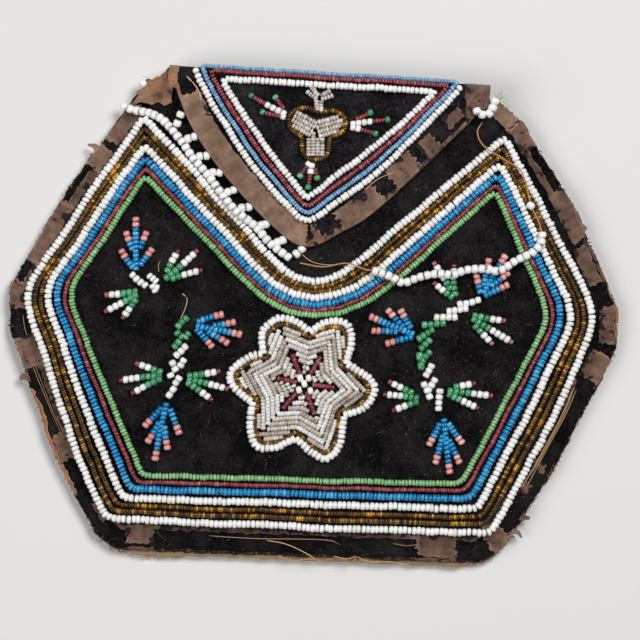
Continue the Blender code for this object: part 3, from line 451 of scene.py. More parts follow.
def put(tree, socket, value):
    """Link a socket to a value from another node, or type the value in."""
    if isinstance(value, bpy.types.NodeSocket):
        tree.links.new(value, socket)
    else:
        socket.default_value = value


def add(tree, kind, **inputs):
    """A node with its named inputs filled."""
    node = tree.nodes.new(kind)
    for name, value in inputs.items():
        put(tree, node.inputs[name], value)
    return node


def calculated(tree, operation, *values):
    node = tree.nodes.new("ShaderNodeMath")
    node.operation = operation
    for socket, value in zip(node.inputs, values):
        put(tree, socket, value)
    return node.outputs[0]


def carried(tree, name):
    """A value that each point of a mesh carries."""
    node = tree.nodes.new("ShaderNodeAttribute")
    node.attribute_name = name
    return node.outputs["Fac"]


def ramp(tree, source, *stops):
    """A colour ramp through stops of place and sRGB colour."""
    node = add(tree, "ShaderNodeValToRGB", Fac=source)
    band = node.color_ramp
    while len(band.elements) < len(stops):
        band.elements.new(0.5)
    for element, (place, colour) in zip(band.elements, stops):
        element.position = place
        element.color = linear(colour)
    return node.outputs["Color"]


def mask(tree, source, low, high, full=255):
    """Black up to one value of its source, and from another on as light as full says."""
    return ramp(tree, source, (low, (0, 0, 0)), (high, (full, full, full)))


# Where a mix node has its share and its two colours, and where the mixed colour comes out
MIX_INPUTS = (0, 6, 7)
MIX_OUTPUT = 2


def blend(tree, share, first, second, way="MIX"):
    node = tree.nodes.new("ShaderNodeMix")
    node.data_type = "RGBA"
    node.blend_type = way
    for place, value in zip(MIX_INPUTS, (share, first, second)):
        put(tree, node.inputs[place], value)
    return node.outputs[MIX_OUTPUT]


def grain(tree, scale, detail=3.0, roughness=0.55):
    """Noise over the object's own coordinates."""
    place = tree.nodes.new("ShaderNodeTexCoord").outputs["Object"]
    node = add(tree, "ShaderNodeTexNoise", Vector=place, Scale=scale, Detail=detail, Roughness=roughness)
    return node.outputs[0]


def ribs(tree, direction, scale, distortion=1.5):
    """Bands along or across a strip whose UV map is in millimetres."""
    place = tree.nodes.new("ShaderNodeTexCoord").outputs["UV"]
    node = add(tree, "ShaderNodeTexWave", Vector=place, Scale=scale, Distortion=distortion, Detail=2.0)
    node.bands_direction = direction
    return node.outputs["Fac"]


def bumped(tree, shader, height, strength, distance):
    bump = add(tree, "ShaderNodeBump", Height=height, Strength=strength, Distance=distance)
    tree.links.new(bump.outputs["Normal"], shader.inputs["Normal"])


def velvet(name, base, worn, lint):
    """Black cotton velvet: soft sheen, paler worn clouds and specks of lint."""
    made, tree, shader = blank(name, 0.95, specular=0.08)
    shader.inputs["Sheen Weight"].default_value = 0.05
    shader.inputs["Sheen Roughness"].default_value = 0.45
    shader.inputs["Sheen Tint"].default_value = linear((200, 196, 200))
    fine, coarse = grain(tree, 1400.0, 3.0, 0.7), grain(tree, 90.0, 6.0, 0.75)
    clouds = ramp(tree, calculated(tree, "MULTIPLY_ADD", fine, 0.6, coarse), (0.70, base), (1.08, worn))
    specks = mask(tree, grain(tree, 1700.0, 1.0), 0.73, 0.80)
    tree.links.new(blend(tree, specks, clouds, linear(lint)), shader.inputs["Base Color"])
    bumped(tree, shader, grain(tree, 1900.0, 2.0), 0.8, 0.00025)
    return made


def silk_ribbon(name):
    """Brown silk ribbon, ribbed across, faded and scuffed. Its carried attribute darkens or bleaches it
    where it is worn, and in places lightens it as painted highlight.
    """
    made, tree, shader = blank(name, 0.72, specular=0.25)
    shader.inputs["Sheen Weight"].default_value = 0.15
    shader.inputs["Sheen Roughness"].default_value = 0.4
    wear = carried(tree, "wear")
    colours = ramp(
        tree, wear,
        (0.12, (20, 17, 18)), (0.26, (92, 70, 58)), (0.50, (146, 112, 94)),
        (0.75, (186, 152, 126)), (1.0, (214, 146, 106)),
    )
    scuffs = ramp(tree, grain(tree, 240.0, 6.0, 0.7), (0.30, (160, 160, 160)), (0.72, (255, 255, 255)))
    lines = ramp(tree, ribs(tree, "X", 1.1), (0.0, (205, 205, 205)), (0.7, (255, 255, 255)))
    for layer in (scuffs, lines):
        colours = blend(tree, 1.0, colours, layer, "MULTIPLY")
    worn_through = calculated(tree, "MULTIPLY_ADD", wear, -0.6, grain(tree, 420.0, 6.0, 0.65))
    colours = blend(tree, mask(tree, worn_through, 0.315, 0.355), colours, linear((26, 22, 22)))
    tree.links.new(colours, shader.inputs["Base Color"])
    bumped(tree, shader, ribs(tree, "X", 1.1), 0.35, 0.00012)
    return made


def plain_weave(name, dark, pale, scale):
    """Linen or cotton, woven both ways over a UV map in millimetres."""
    made, tree, shader = blank(name, 0.92, specular=0.15)
    warp, weft = ribs(tree, "X", scale, 2.2), ribs(tree, "Y", scale, 2.2)
    woven = calculated(tree, "MULTIPLY", warp, weft)
    colours = ramp(tree, woven, (0.0, dark), (0.6, pale))
    stain = mask(tree, grain(tree, 70.0, 5.0, 0.7), 0.3, 0.8, 150)
    tree.links.new(blend(tree, stain, colours, linear(dark)), shader.inputs["Base Color"])
    bumped(tree, shader, woven, 0.6, 0.00015)
    return made


def glass(name):
    """Seed bead glass whose colour follows each bead's own tint, with a little dirt in its pores."""
    dark, usual, light = GLASS[name]
    metal = name == "bronze_bead"
    clear = name == "clear_bead"
    made, tree, shader = blank(name, 0.30 if metal else 0.24, metallic=0.55 if metal else 0.0)
    colours = ramp(tree, carried(tree, "tint"), (0.0, dark), (0.5, usual), (1.0, light))
    dirt = mask(tree, grain(tree, 900.0, 3.0), 0.55, 0.85, 110)
    tree.links.new(blend(tree, dirt, colours, linear(dark)), shader.inputs["Base Color"])
    if clear:
        shader.inputs["Transmission Weight"].default_value = 0.15
    if not metal:
        shader.inputs["Coat Weight"].default_value = 1.0 if clear else 0.6
        shader.inputs["Coat Roughness"].default_value = 0.08
    bumped(tree, shader, grain(tree, 1300.0, 2.0), 0.12, 0.0001)
    return made


def thread_stuff(name, dark, pale):
    """Twisted thread or loose fibres, each as light or dark as its own tint."""
    made, tree, shader = blank(name, 0.85, specular=0.2)
    colours = ramp(tree, carried(tree, "tint"), (0.0, dark), (1.0, pale))
    tree.links.new(colours, shader.inputs["Base Color"])
    return made


MATERIALS = {name: glass(name) for name in GLASS}
MATERIALS.update({
    "velvet": velvet("velvet", (7, 6, 8), (40, 37, 37), (132, 122, 110)),
    "flap_velvet": velvet("flap_velvet", (9, 8, 11), (48, 45, 47), (132, 124, 116)),
    "ribbon": silk_ribbon("ribbon"),
    "linen": plain_weave("linen", (176, 136, 94), (238, 204, 158), 0.9),
    "lining": plain_weave("lining", (84, 66, 50), (128, 104, 80), 1.2),
    "straw_thread": thread_stuff("straw_thread", (184, 140, 96), (242, 208, 162)),
    "fuzz": thread_stuff("fuzz", (10, 9, 10), (58, 48, 42)),
    "lint": thread_stuff("lint", (52, 46, 42), (150, 140, 128)),
    "hair": thread_stuff("hair", (60, 48, 38), (140, 116, 92)),
})


# Pieces

def settle(piece, slot, *nodes):
    """Tie a finished piece to the model: the body it rides on and what it stands for; the finish given as
    slot is not used.
    """
    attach(piece, "root")
    if nodes:
        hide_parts(*nodes)
    return piece


def made_active(piece):
    bpy.ops.object.select_all(action="DESELECT")
    piece.select_set(True)
    bpy.context.view_layer.objects.active = piece


def placed(name, data):
    """A new object in the scene."""
    made = bpy.data.objects.new(name, data)
    bpy.context.scene.collection.objects.link(made)
    return made


def thickened(piece, thickness, offset=0.0):
    """The piece made thick, evenly about its surface or, with an offset of -1, below it."""
    made_active(piece)
    solid = piece.modifiers.new("thickness", "SOLIDIFY")
    solid.thickness = thickness
    solid.offset = offset
    bpy.ops.object.modifier_apply(modifier="thickness")
    return piece


def mesh_piece(name, verts, faces, finishes, tints, face_finishes=None):
    mesh = bpy.data.meshes.new(name)
    mesh.from_pydata(verts, [], faces)
    for finish in finishes:
        mesh.materials.append(MATERIALS[finish])
    if face_finishes:
        mesh.polygons.foreach_set("material_index", face_finishes)
    mesh.attributes.new("tint", "FLOAT", "POINT").data.foreach_set("value", tints)
    mesh.polygons.foreach_set("use_smooth", [True] * len(mesh.polygons))
    mesh.update()
    return placed(name, mesh)


def woven_grid(name, columns, rows, place, finish, thickness, wear=None):
    """A cloth from a flat grid, its points put at place(across, up), with a UV map in millimetres."""
    bpy.ops.object.select_all(action="DESELECT")
    bpy.ops.mesh.primitive_grid_add(x_subdivisions=columns, y_subdivisions=rows, size=1.0)
    cloth = bpy.context.object
    cloth.name = cloth.data.name = name
    mesh = cloth.data
    shares = [(vert.co.x + 0.5, vert.co.y + 0.5) for vert in mesh.vertices]
    places = [place(across, up) for across, up in shares]
    mesh.vertices.foreach_set("co", [value for point in places for value in point])
    long = running_length(places[columns // 2::columns + 1], MM)
    start = rows // 2 * (columns + 1)
    wide = running_length(places[start:start + columns + 1], MM)
    for loop in mesh.loops:
        row, column = divmod(loop.vertex_index, columns + 1)
        mesh.uv_layers[0].data[loop.index].uv = (wide[column], long[row])
    if wear:
        values = [wear(*share) for share in shares]
        mesh.attributes.new("wear", "FLOAT", "POINT").data.foreach_set("value", values)
    mesh.materials.append(MATERIALS[finish])
    bpy.ops.object.shade_smooth()
    if thickness:
        thickened(cloth, thickness, -1.0)
    return cloth


def joined(name, pieces):
    """Several pieces of one material made one."""
    made_active(pieces[0])
    for piece in pieces[1:]:
        piece.select_set(True)
    bpy.ops.object.join()
    pieces[0].name = pieces[0].data.name = name
    return pieces[0]


# Shape of a bead that is one unit across: the length of its barrel, how far each end reaches past that and
# how far it narrows, and the rim and the depth of a hole that shows
BARREL = 0.46
END_REACH = 0.25
SHOULDER = 0.74
HOLE_RIM = 0.17
HOLE_DEPTH = 0.22
# A sewn bead's height for its width, how high its middle lies for its height, and the step its slope is
# measured over
SEWN_FLATNESS = 0.94
SEWN_RISE = 0.46
SLOPE_STEP = 0.0005


def end_face(form, end):
    """The flat face at one end of a bead that is being made."""
    return max(form.faces, key=lambda f: f.calc_center_median().z * end - 10 * (len(f.verts) == 4))


def bead_form(sides, holed):
    """Corners and faces of a bead one unit across and nearly one long, with its hole along Z."""
    bpy.ops.object.select_all(action="DESELECT")
    bpy.ops.mesh.primitive_cylinder_add(vertices=sides, radius=0.5, depth=BARREL)
    bead = bpy.context.object
    bpy.ops.object.mode_set(mode="EDIT")
    bpy.ops.mesh.select_mode(type="FACE")
    for end in (1, -1):
        bpy.ops.mesh.select_all(action="DESELECT")
        form = bmesh.from_edit_mesh(bead.data)
        end_face(form, end).select_set(True)
        bmesh.update_edit_mesh(bead.data)
        bpy.ops.mesh.extrude_region_move(TRANSFORM_OT_translate={"value": (0, 0, end * END_REACH)})
        bpy.ops.transform.resize(value=(SHOULDER, SHOULDER, 1.0), center_override=(0, 0, 0))
        if holed:
            bpy.ops.mesh.inset(thickness=HOLE_RIM)
            bpy.ops.transform.translate(value=(0, 0, -end * HOLE_DEPTH))
    bpy.ops.object.mode_set(mode="OBJECT")
    corners = [vert.co.copy() for vert in bead.data.vertices]
    faces = [tuple(face_made.vertices) for face_made in bead.data.polygons]
    bpy.data.objects.remove(bead)
    return corners, faces


FORMS = {}
Bead = namedtuple("Bead", "kind place along up tint stretch")


def form_of(kind):
    key = (kind.sides, kind.holed)
    if key not in FORMS:
        FORMS[key] = bead_form(*key)
    return FORMS[key]


def beads_piece(name, beads):
    """Many beads as one mesh, each turned, sized and tinted on its own."""
    finishes = list(dict.fromkeys(bead.kind.finish for bead in beads))
    verts, faces, tints, face_finishes = [], [], [], []
    for bead in beads:
        corners, sides = form_of(bead.kind)
        side = bead.along.cross(bead.up).normalized()
        up = side.cross(bead.along).normalized()
        wide, tall, long = (
            side * bead.kind.width * bead.stretch[0],
            up * bead.kind.width * bead.stretch[1],
            bead.along * bead.kind.length * bead.stretch[2],
        )
        base = len(verts)
        verts += [bead.place + wide * c.x + tall * c.y + long * c.z for c in corners]
        faces += [tuple(base + index for index in face_made) for face_made in sides]
        tints += [bead.tint] * len(corners)
        face_finishes += [finishes.index(bead.kind.finish)] * len(sides)
    piece = mesh_piece(name, verts, faces, finishes, tints, face_finishes)
    form = bmesh.new()
    form.from_mesh(piece.data)
    bmesh.ops.recalc_face_normals(form, faces=form.faces)
    form.to_mesh(piece.data)
    form.free()
    return piece


def surface_up(surface, x, y):
    """The direction straight out of a surface."""
    rise_x = surface(x + SLOPE_STEP, y) - surface(x - SLOPE_STEP, y)
    rise_y = surface(x, y + SLOPE_STEP) - surface(x, y - SLOPE_STEP)
    return Vector((-rise_x, -rise_y, 2 * SLOPE_STEP)).normalized()


def sewn_bead(kind, point, along, surface, chance):
    """One bead sewn down on a surface, a touch askew and unlike its neighbours."""
    up = surface_up(surface, point.x, point.y)
    flat = Vector((along.x, along.y, 0.0))
    level = (flat - up * flat.dot(up)).normalized()
    turn = chance.gauss(0.0, 0.06)
    askew = (level + up.cross(level) * turn + up * chance.gauss(0.0, 0.03)).normalized()
    width = chance.gauss(1.0, 0.035)
    tall = SEWN_FLATNESS * width
    rise = kind.width * tall * SEWN_RISE
    place = on_surface(point, surface) + up * rise
    tint = clamped(chance.gauss(0.5, 0.20))
    return Bead(kind, place, askew, up, tint, (width, tall, chance.gauss(0.97, 0.05)))


def painted_sparkle(bead, chance):
    """A bronze bead's tint with painted glints, bright in stretches and dull between them."""
    painted_glint = 0.36 + 0.35 * wander(bead.place.x, bead.place.y, 0.006, 9)
    painted_glint += chance.choice((-0.22, -0.1, 0.0, 0.1, 0.45))
    return bead._replace(tint=clamped(painted_glint))


def strung(kind, path, surface, chance, closed=False, wobble=0.00018, skip=None):
    """Beads side by side along a path on a surface."""
    track = path + path[:1] if closed else path
    total = path_length(track)
    count = max(1, round(total / kind.length))
    walk = Walk(track)
    beads = []
    for index in range(count):
        point, along = walk.at((index + 0.5) * total / count + chance.gauss(0.0, kind.length * 0.04))
        side = left_of(along)
        sway = wobble * wander(point.x, point.y, 0.0045, kind.width * 1e4)
        point = point + side * (sway + chance.gauss(0.0, kind.width * 0.025))
        if skip and skip(point):
            continue
        bead = sewn_bead(kind, point, along, surface, chance)
        # Bronze beads take painted glints in their tint
        if kind.finish == "bronze_bead":
            bead = painted_sparkle(bead, chance)
        beads.append(bead)
    return beads


def pulled(path, reach=0.00038):
    """A row's path drawn out of line by the stitches, alike for rows that lie side by side."""
    fine = resampled(path, max(4, round(path_length(path) / 0.001)))
    return [
        point + Vector((wander(point.x, point.y, 0.013, 5), wander(point.x, point.y, 0.013, 6))) * reach
        for point in fine
    ]


def between(outer, inner, share):
    return [
        (mix(Vector(a), Vector(b), share), mix(cut_a, cut_b, share))
        for (a, cut_a), (b, cut_b) in zip(outer, inner)
    ]


# Each row's name, the width that sets it apart from its neighbours in the part's source, and its bead. A row
# of the flap also has how far past the crease its upper side lies, or None where it has no upper side
FACE_ROWS = (
    ("face_row_white_outer", 0.0018, WHITE),
    ("face_row_bronze_outer", 0.0011, BRONZE),
    ("face_row_bronze_inner", 0.0011, BRONZE),
    ("face_row_white_inner", 0.0018, WHITE),
    ("face_row_blue", 0.00165, BLUE),
    ("face_row_maroon", 0.00095, MAROON),
    ("face_row_green", 0.0015, PALE_GREEN),
)
FLAP_ROWS = (
    ("flap_row_white_outer", 0.0016, FLAP_WHITE, None),
    ("flap_row_light_blue", 0.00115, FLAP_BLUE, 0.0028),
    ("flap_row_red", 0.00115, FLAP_RED, 0.0016),
    ("flap_row_white_inner", 0.0016, FLAP_WHITE, 0.0),
)


def row_shares(widths):
    places = [0.0]
    for before, width in zip(widths, widths[1:]):
        places.append(places[-1] + (before + width) / 2 + ROW_GAP)
    return [place / places[-1] for place in places]


SEWN_BEADS = []


def sewn_piece(name, beads):
    """A piece of sewn beads, which also counts as something that loose beads can rest on."""
    SEWN_BEADS.extend(beads)
    return settle(beads_piece(name, beads), beads[0].kind.finish, name)


def face_rows():
    for (name, _, kind), share in zip(FACE_ROWS, row_shares([width for _, width, _ in FACE_ROWS])):
        chance = random.Random(name)
        path = rounded(between(FACE_ROW_OUTER, FACE_ROW_INNER, share), closed=True)
        track = pulled(path + path[:1])
        sewn_piece(name, strung(kind, track, face, chance))


def flap_rows():
    shares = row_shares([width for _, width, _, _ in FLAP_ROWS])
    for (name, _, kind, past_crease), share in zip(FLAP_ROWS, shares):
        chance = random.Random(name)
        corners = between(FLAP_ROW_OUTER, FLAP_ROW_INNER, share)
        closed = past_crease is not None
        if closed:
            for (end, _), (before, _) in ((corners[0], corners[1]), (corners[-1], corners[-2])):
                reach = (crease(end.x) + past_crease - before.y) / (end.y - before.y)
                end.xy = mix(before, end, reach)
        path = rounded(corners, closed)
        track = pulled(path + path[:1] if closed else path, 0.00025)
        sewn_piece(name, strung(kind, track, flap_top, chance))


# Flower: its outline from petal to petal, and the rays from the heart
FLOWER = Vector((-0.0006, -0.0172))
FLOWER_OUTLINE = (
    ((-0.0086, 0.0005), 0.0022), ((-0.0127, -0.0034), 0.0016), ((-0.0120, -0.0095), 0.0),
    ((-0.0156, -0.0102), 0.0020), ((-0.0212, -0.0150), 0.0022), ((-0.0200, -0.0184), 0.0016),
    ((-0.0143, -0.0229), 0.0), ((-0.0150, -0.0293), 0.0020), ((-0.0131, -0.0350), 0.0022),
    ((-0.0078, -0.0349), 0.0020), ((-0.0025, -0.0318), 0.0), ((0.0016, -0.0352), 0.0020),
    ((0.0060, -0.0378), 0.0020), ((0.0096, -0.0338), 0.0020), ((0.0104, -0.0251), 0.0),
    ((0.0159, -0.0233), 0.0020), ((0.0188, -0.0186), 0.0022), ((0.0176, -0.0154), 0.0018),
    ((0.0105, -0.0112), 0.0), ((0.0119, -0.0049), 0.0020), ((0.0104, -0.0002), 0.0020),
    ((0.0043, -0.0001), 0.0020), ((0.0004, -0.0032), 0.0), ((-0.0037, -0.0002), 0.0020),
)
RAY_TIPS = (
    (0.0036, -0.0098), (-0.0042, -0.0094), (-0.0079, -0.0159),
    (-0.0062, -0.0240), (0.0024, -0.0252), (0.0076, -0.0179),
)
HEART_BEADS = (
    (-0.0018, -0.0157), (0.0005, -0.0156), (-0.0006, -0.0172), (-0.0020, -0.0189), (0.0011, -0.0190),
)
HEART_RED = ((-0.0012, -0.0202), (-0.0002, -0.0204), (0.0005, -0.0210))
RAY_START = 0.0021
# Room kept free of clear beads round the heart, beside the rays and inside the outline
HEART_ROOM = 0.0029
RAY_ROOM = 0.00106
PETAL_RIM = 0.0027
BRONZE_RING_DEPTH = 0.00175
OUTLINE_WOBBLE = 0.00008
PETAL_ROW_START = 0.0030
PETAL_ROW_PITCH = 0.00128
RING_STEPS = 360
FLOWER_POINTS = 500
# The rows of half a petal, the span that a row's lightness is drawn from (partly the glass's own colour, its
# light end partly a painted highlight streak), how much a bead's own tint adds to it, and how far beads are
# drawn out so that they touch
PETAL_ROWS = range(-2, 8)
ROW_TONES_AND_HIGHLIGHTS = (0.0, 0.80)
OWN_TINT = 0.45
DRAWN_OUT = 1.14
# How many of the last beads a new one is held against
LOOKED_BACK = 260


def polar_reach(path, middle):
    """How far a closed star-shaped path lies from its middle, by direction."""
    marks = sorted((math.atan2(p.y - middle.y, p.x - middle.x), (p - middle).length) for p in path)

    def reach(angle):
        angle = (angle + math.pi) % math.tau - math.pi
        for (a, first), (b, second) in zip(marks, marks[1:]):
            if a <= angle <= b:
                return mix(first, second, (angle - a) / (b - a) if b > a else 0.0)
        (a, first), (b, second) = marks[-1], marks[0]
        span = b + math.tau - a
        return mix(first, second, ((angle - a) % math.tau) / span)

    return reach


def past_rim(point, middle, reach, rim):
    """Whether a point lies outside a star-shaped path that is drawn in by a rim."""
    direction = point - middle
    return direction.length > reach(math.atan2(direction.y, direction.x)) - rim


def drawn_ring(middle, reach, depth):
    """The ring that lies a depth inside a star-shaped one."""
    ring = []
    for step in range(RING_STEPS):
        angle = math.tau * step / RING_STEPS
        ring.append(middle + heading(angle) * (reach(angle) - depth))
    return ring


def distance_to(point, start, end):
    along = end - start
    share = clamped((point - start).dot(along) / along.length_squared)
    return (point - start - along * share).length


def cleared(beads, room=0.62):
    """Beads without those that crowd one that is already there."""
    kept = []
    for bead in beads:
        near = bead.kind.length * room
        if all((bead.place - other.place).length > near for other in kept[-LOOKED_BACK:]):
            kept.append(bead)
    return kept


def in_turn(strings):
    """Beads of several strings in one list."""
    return [bead for string in strings for bead in string]


def crossed(a, b):
    return a.x * b.y - a.y * b.x


def close_set(bead, tone):
    """A clear bead drawn up against the next, as light as the rest of its row, whose lightness is partly a
    painted highlight streak.
    """
    wide, tall, long = bead.stretch
    tint = min(1.0, tone + OWN_TINT * bead.tint)
    return bead._replace(stretch=(wide, tall, long * DRAWN_OUT), tint=tint)


def petal_rows(notch, tip, ray_tip, surface, chance, skip):
    """Clear rows of half a petal, side by side from its outer side to its ray, meeting the next petal's."""
    inward_line = (FLOWER - notch).normalized()
    axis = (ray_tip - FLOWER).normalized()
    along = (tip - notch).normalized()
    slant = abs(crossed(inward_line, along))
    beads = []
    for row in PETAL_ROWS:
        start = notch + inward_line * (PETAL_ROW_START + row * PETAL_ROW_PITCH / slant)
        reach = crossed(FLOWER - start, axis) / crossed(along, axis)
        tone = chance.uniform(*ROW_TONES_AND_HIGHLIGHTS)
        if reach > CLEAR.length * 2:
            line = strung(CLEAR, [start, start + along * reach], surface, chance, skip=skip, wobble=0.0)
            beads += [close_set(bead, tone) for bead in line]
    return beads


def flower():
    outline = rounded(FLOWER_OUTLINE, closed=True)
    reach = polar_reach(resampled(outline + outline[:1], FLOWER_POINTS), FLOWER)
    chance = random.Random("flower")
    white = strung(WHITE, outline, face, chance, closed=True, wobble=OUTLINE_WOBBLE)
    sewn_piece("flower_outline_white", white)
    bronze_ring = drawn_ring(FLOWER, reach, BRONZE_RING_DEPTH)
    bronze = strung(BRONZE, bronze_ring, face, chance, closed=True, wobble=OUTLINE_WOBBLE)
    sewn_piece("flower_outline_bronze", cleared(bronze))
    rays = [(FLOWER + (Vector(tip) - FLOWER).normalized() * RAY_START, Vector(tip)) for tip in RAY_TIPS]

    def taken(point):
        if (point - FLOWER).length < HEART_ROOM:
            return True
        return any(distance_to(point, foot, tip) < RAY_ROOM for foot, tip in rays)

    def off_petal(point):
        return past_rim(point, FLOWER, reach, PETAL_RIM) or taken(point)

    notches = [Vector(corner) for corner, cut in FLOWER_OUTLINE if cut == 0.0]
    for index, tip in enumerate(RAY_TIPS):
        axis = Vector(tip) - FLOWER
        end = FLOWER + axis.normalized() * reach(math.atan2(axis.y, axis.x))
        sides = sorted(notches, key=lambda notch: axis.angle(notch - FLOWER))[:2]
        beads = [petal_rows(notch, end, Vector(tip), face, chance, off_petal) for notch in sides]
        sewn_piece(f"flower_petal_{index + 1}", cleared(in_turn(beads), 0.70))
    heart = [
        sewn_bead(HEART_WHITE, Vector(place), Vector((1.0, 0.3)), face, chance)
        for place in HEART_BEADS
    ]
    for foot, tip in rays:
        heart += strung(RAY_RED, [foot, tip], face, chance)
    heart += [sewn_bead(RAY_RED, Vector(p), Vector((1.0, -0.4)), face, chance) for p in HEART_RED]
    sewn_piece("flower_heart", heart)


# Sprays and sprigs: each finger as foot x, foot y, tip x, tip y
FINGERS = {
    "left_top_spray": (
        (-0.0469, 0.0115, -0.0475, 0.0259),
        (-0.0475, 0.0121, -0.0512, 0.0171),
        (-0.0473, 0.0157, -0.0501, 0.0220),
        (-0.0466, 0.0162, -0.0444, 0.0222),
        (-0.0466, 0.0119, -0.0426, 0.0177),
    ),
    "left_side_spray": (
        (-0.0304, -0.0028, -0.0178, -0.0047),
        (-0.0301, -0.0018, -0.0229, 0.0007),
        (-0.0270, -0.0028, -0.0196, -0.0012),
        (-0.0272, -0.0040, -0.0212, -0.0073),
        (-0.0303, -0.0034, -0.0255, -0.0085),
    ),
    "left_bottom_spray": (
        (-0.0373, -0.0236, -0.0399, -0.0394),
        (-0.0378, -0.0240, -0.0432, -0.0304),
        (-0.0385, -0.0278, -0.0422, -0.0347),
        (-0.0379, -0.0286, -0.0365, -0.0364),
        (-0.0369, -0.0240, -0.0335, -0.0322),
    ),
    "left_upper_sprig_right": (
        (-0.0392, 0.0094, -0.0305, 0.0177),
        (-0.0392, 0.0098, -0.0356, 0.0175),
        (-0.0390, 0.0090, -0.0290, 0.0123),
    ),
    "left_upper_sprig_left": (
        (-0.0462, 0.0053, -0.0551, 0.0000),
        (-0.0462, 0.0061, -0.0552, 0.0046),
        (-0.0457, 0.0052, -0.0502, -0.0017),
    ),
    "left_lower_sprig_left": (
        (-0.0388, -0.0163, -0.0504, -0.0183),
        (-0.0387, -0.0157, -0.0463, -0.0133),
        (-0.0389, -0.0171, -0.0470, -0.0217),
    ),
    "left_lower_sprig_right": (
        (-0.0322, -0.0171, -0.0208, -0.0194),
        (-0.0322, -0.0164, -0.0231, -0.0146),
        (-0.0323, -0.0178, -0.0249, -0.0227),
    ),
    "right_top_spray": (
        (0.0464, 0.0088, 0.0521, 0.0196),
        (0.0458, 0.0088, 0.0444, 0.0143),
        (0.0464, 0.0095, 0.0477, 0.0185),
        (0.0474, 0.0102, 0.0532, 0.0150),
        (0.0467, 0.0082, 0.0533, 0.0117),
    ),
    "right_side_spray": (
        (0.0284, -0.0028, 0.0161, 0.0017),
        (0.0282, -0.0022, 0.0243, 0.0039),
        (0.0264, -0.0020, 0.0208, 0.0038),
        (0.0262, -0.0024, 0.0168, -0.0023),
        (0.0280, -0.0034, 0.0207, -0.0057),
    ),
    "right_bottom_spray": (
        (0.0372, -0.0249, 0.0394, -0.0399),
        (0.0367, -0.0252, 0.0333, -0.0326),
        (0.0374, -0.0283, 0.0353, -0.0374),
        (0.0381, -0.0295, 0.0420, -0.0371),
        (0.0377, -0.0252, 0.0426, -0.0317),
    ),
    "right_upper_sprig_left": (
        (0.0390, 0.0078, 0.0384, 0.0165),
        (0.0386, 0.0074, 0.0329, 0.0115),
        (0.0387, 0.0080, 0.0327, 0.0169),
    ),
    "right_upper_sprig_right": (
        (0.0436, 0.0022, 0.0550, -0.0041),
        (0.0437, 0.0030, 0.0529, 0.0018),
        (0.0432, 0.0016, 0.0497, -0.0048),
    ),
    "right_lower_sprig_left": (
        (0.0303, -0.0199, 0.0206, -0.0192),
        (0.0303, -0.0192, 0.0218, -0.0156),
        (0.0303, -0.0206, 0.0231, -0.0236),
    ),
    "right_lower_sprig_right": (
        (0.0378, -0.0176, 0.0502, -0.0185),
        (0.0378, -0.0170, 0.0455, -0.0152),
        (0.0378, -0.0183, 0.0466, -0.0221),
    ),
    "flap_spray_left": (
        (-0.0082, 0.0547, -0.0184, 0.0598),
        (-0.0079, 0.0551, -0.0117, 0.0598),
        (-0.0082, 0.0540, -0.0153, 0.0553),
    ),
    "flap_spray_right": (
        (0.0090, 0.0528, 0.0197, 0.0545),
        (0.0090, 0.0534, 0.0150, 0.0565),
        (0.0090, 0.0521, 0.0166, 0.0504),
    ),
    "flap_spray_tip": (
        (-0.0008, 0.0421, -0.0017, 0.0348),
        (-0.0013, 0.0423, -0.0042, 0.0379),
        (-0.0003, 0.0423, 0.0009, 0.0373),
    ),
}
# How much of a sprig's finger is green, and how near for its width a bead may come to an earlier one
GREEN_SHARE = 0.46
CROWDED_SHARE = 0.48


def finger_kinds(name, length):
    """The beads of one finger from foot to tip."""
    if "spray" in name and not name.startswith("flap"):
        blues = max(2, round((length - 2 * SPRAY_PINK.length) / SPRAY_BLUE.length))
        return [SPRAY_BLUE] * blues + [SPRAY_PINK] * 2
    if name.startswith("flap"):
        red = FLAP_SPRIG_RED
        whites = max(1, round((length - 4 * red.length - SPRIG_GREEN.length) / SPRIG_WHITE.length))
        reds = max(2, round((length - whites * SPRIG_WHITE.length - SPRIG_GREEN.length) / red.length))
        return [FLAP_SPRIG_WHITE] * whites + [red] * reds + [FLAP_SPRIG_GREEN]
    greens = max(2, round(length * GREEN_SHARE / SPRIG_GREEN.length))
    whites = max(1, round((length - greens * SPRIG_GREEN.length - SPRIG_RED.length) / SPRIG_WHITE.length))
    return [SPRIG_GREEN] * greens + [SPRIG_WHITE] * whites + [SPRIG_RED]


def string_of(kinds, start, end, surface, chance):
    """Beads of several kinds threaded end to end from one place to another."""
    reach = (end - start).length
    along = (end - start).normalized()
    slack = reach / sum(kind.length for kind in kinds)
    beads, walked = [], 0.0
    bow = chance.gauss(0.0, 0.00012)
    for kind in kinds:
        middle = walked + kind.length * slack / 2
        side = left_of(along) * bow * math.sin(math.pi * middle / reach)
        bead = sewn_bead(kind, start + along * middle + side, along, surface, chance)
        beads.append(bead._replace(stretch=(bead.stretch[0], bead.stretch[1], slack * 0.98)))
        walked += kind.length * slack
    return beads


def crowded(bead, others):
    """Whether a bead would lie in one of the others."""
    near = bead.kind.width * CROWDED_SHARE
    return any((bead.place - other.place).length < near for other in others)


def sprays():
    for name, fingers in FINGERS.items():
        chance = random.Random(name)
        surface = flap_top if name.startswith("flap") else face
        beads = []
        for foot_x, foot_y, tip_x, tip_y in fingers:
            foot, tip = Vector((foot_x, foot_y)), Vector((tip_x, tip_y))
            finger = string_of(finger_kinds(name, (tip - foot).length), foot, tip, surface, chance)
            beads += [bead for bead in finger if not crowded(bead, beads)]
        sewn_piece(name, beads)


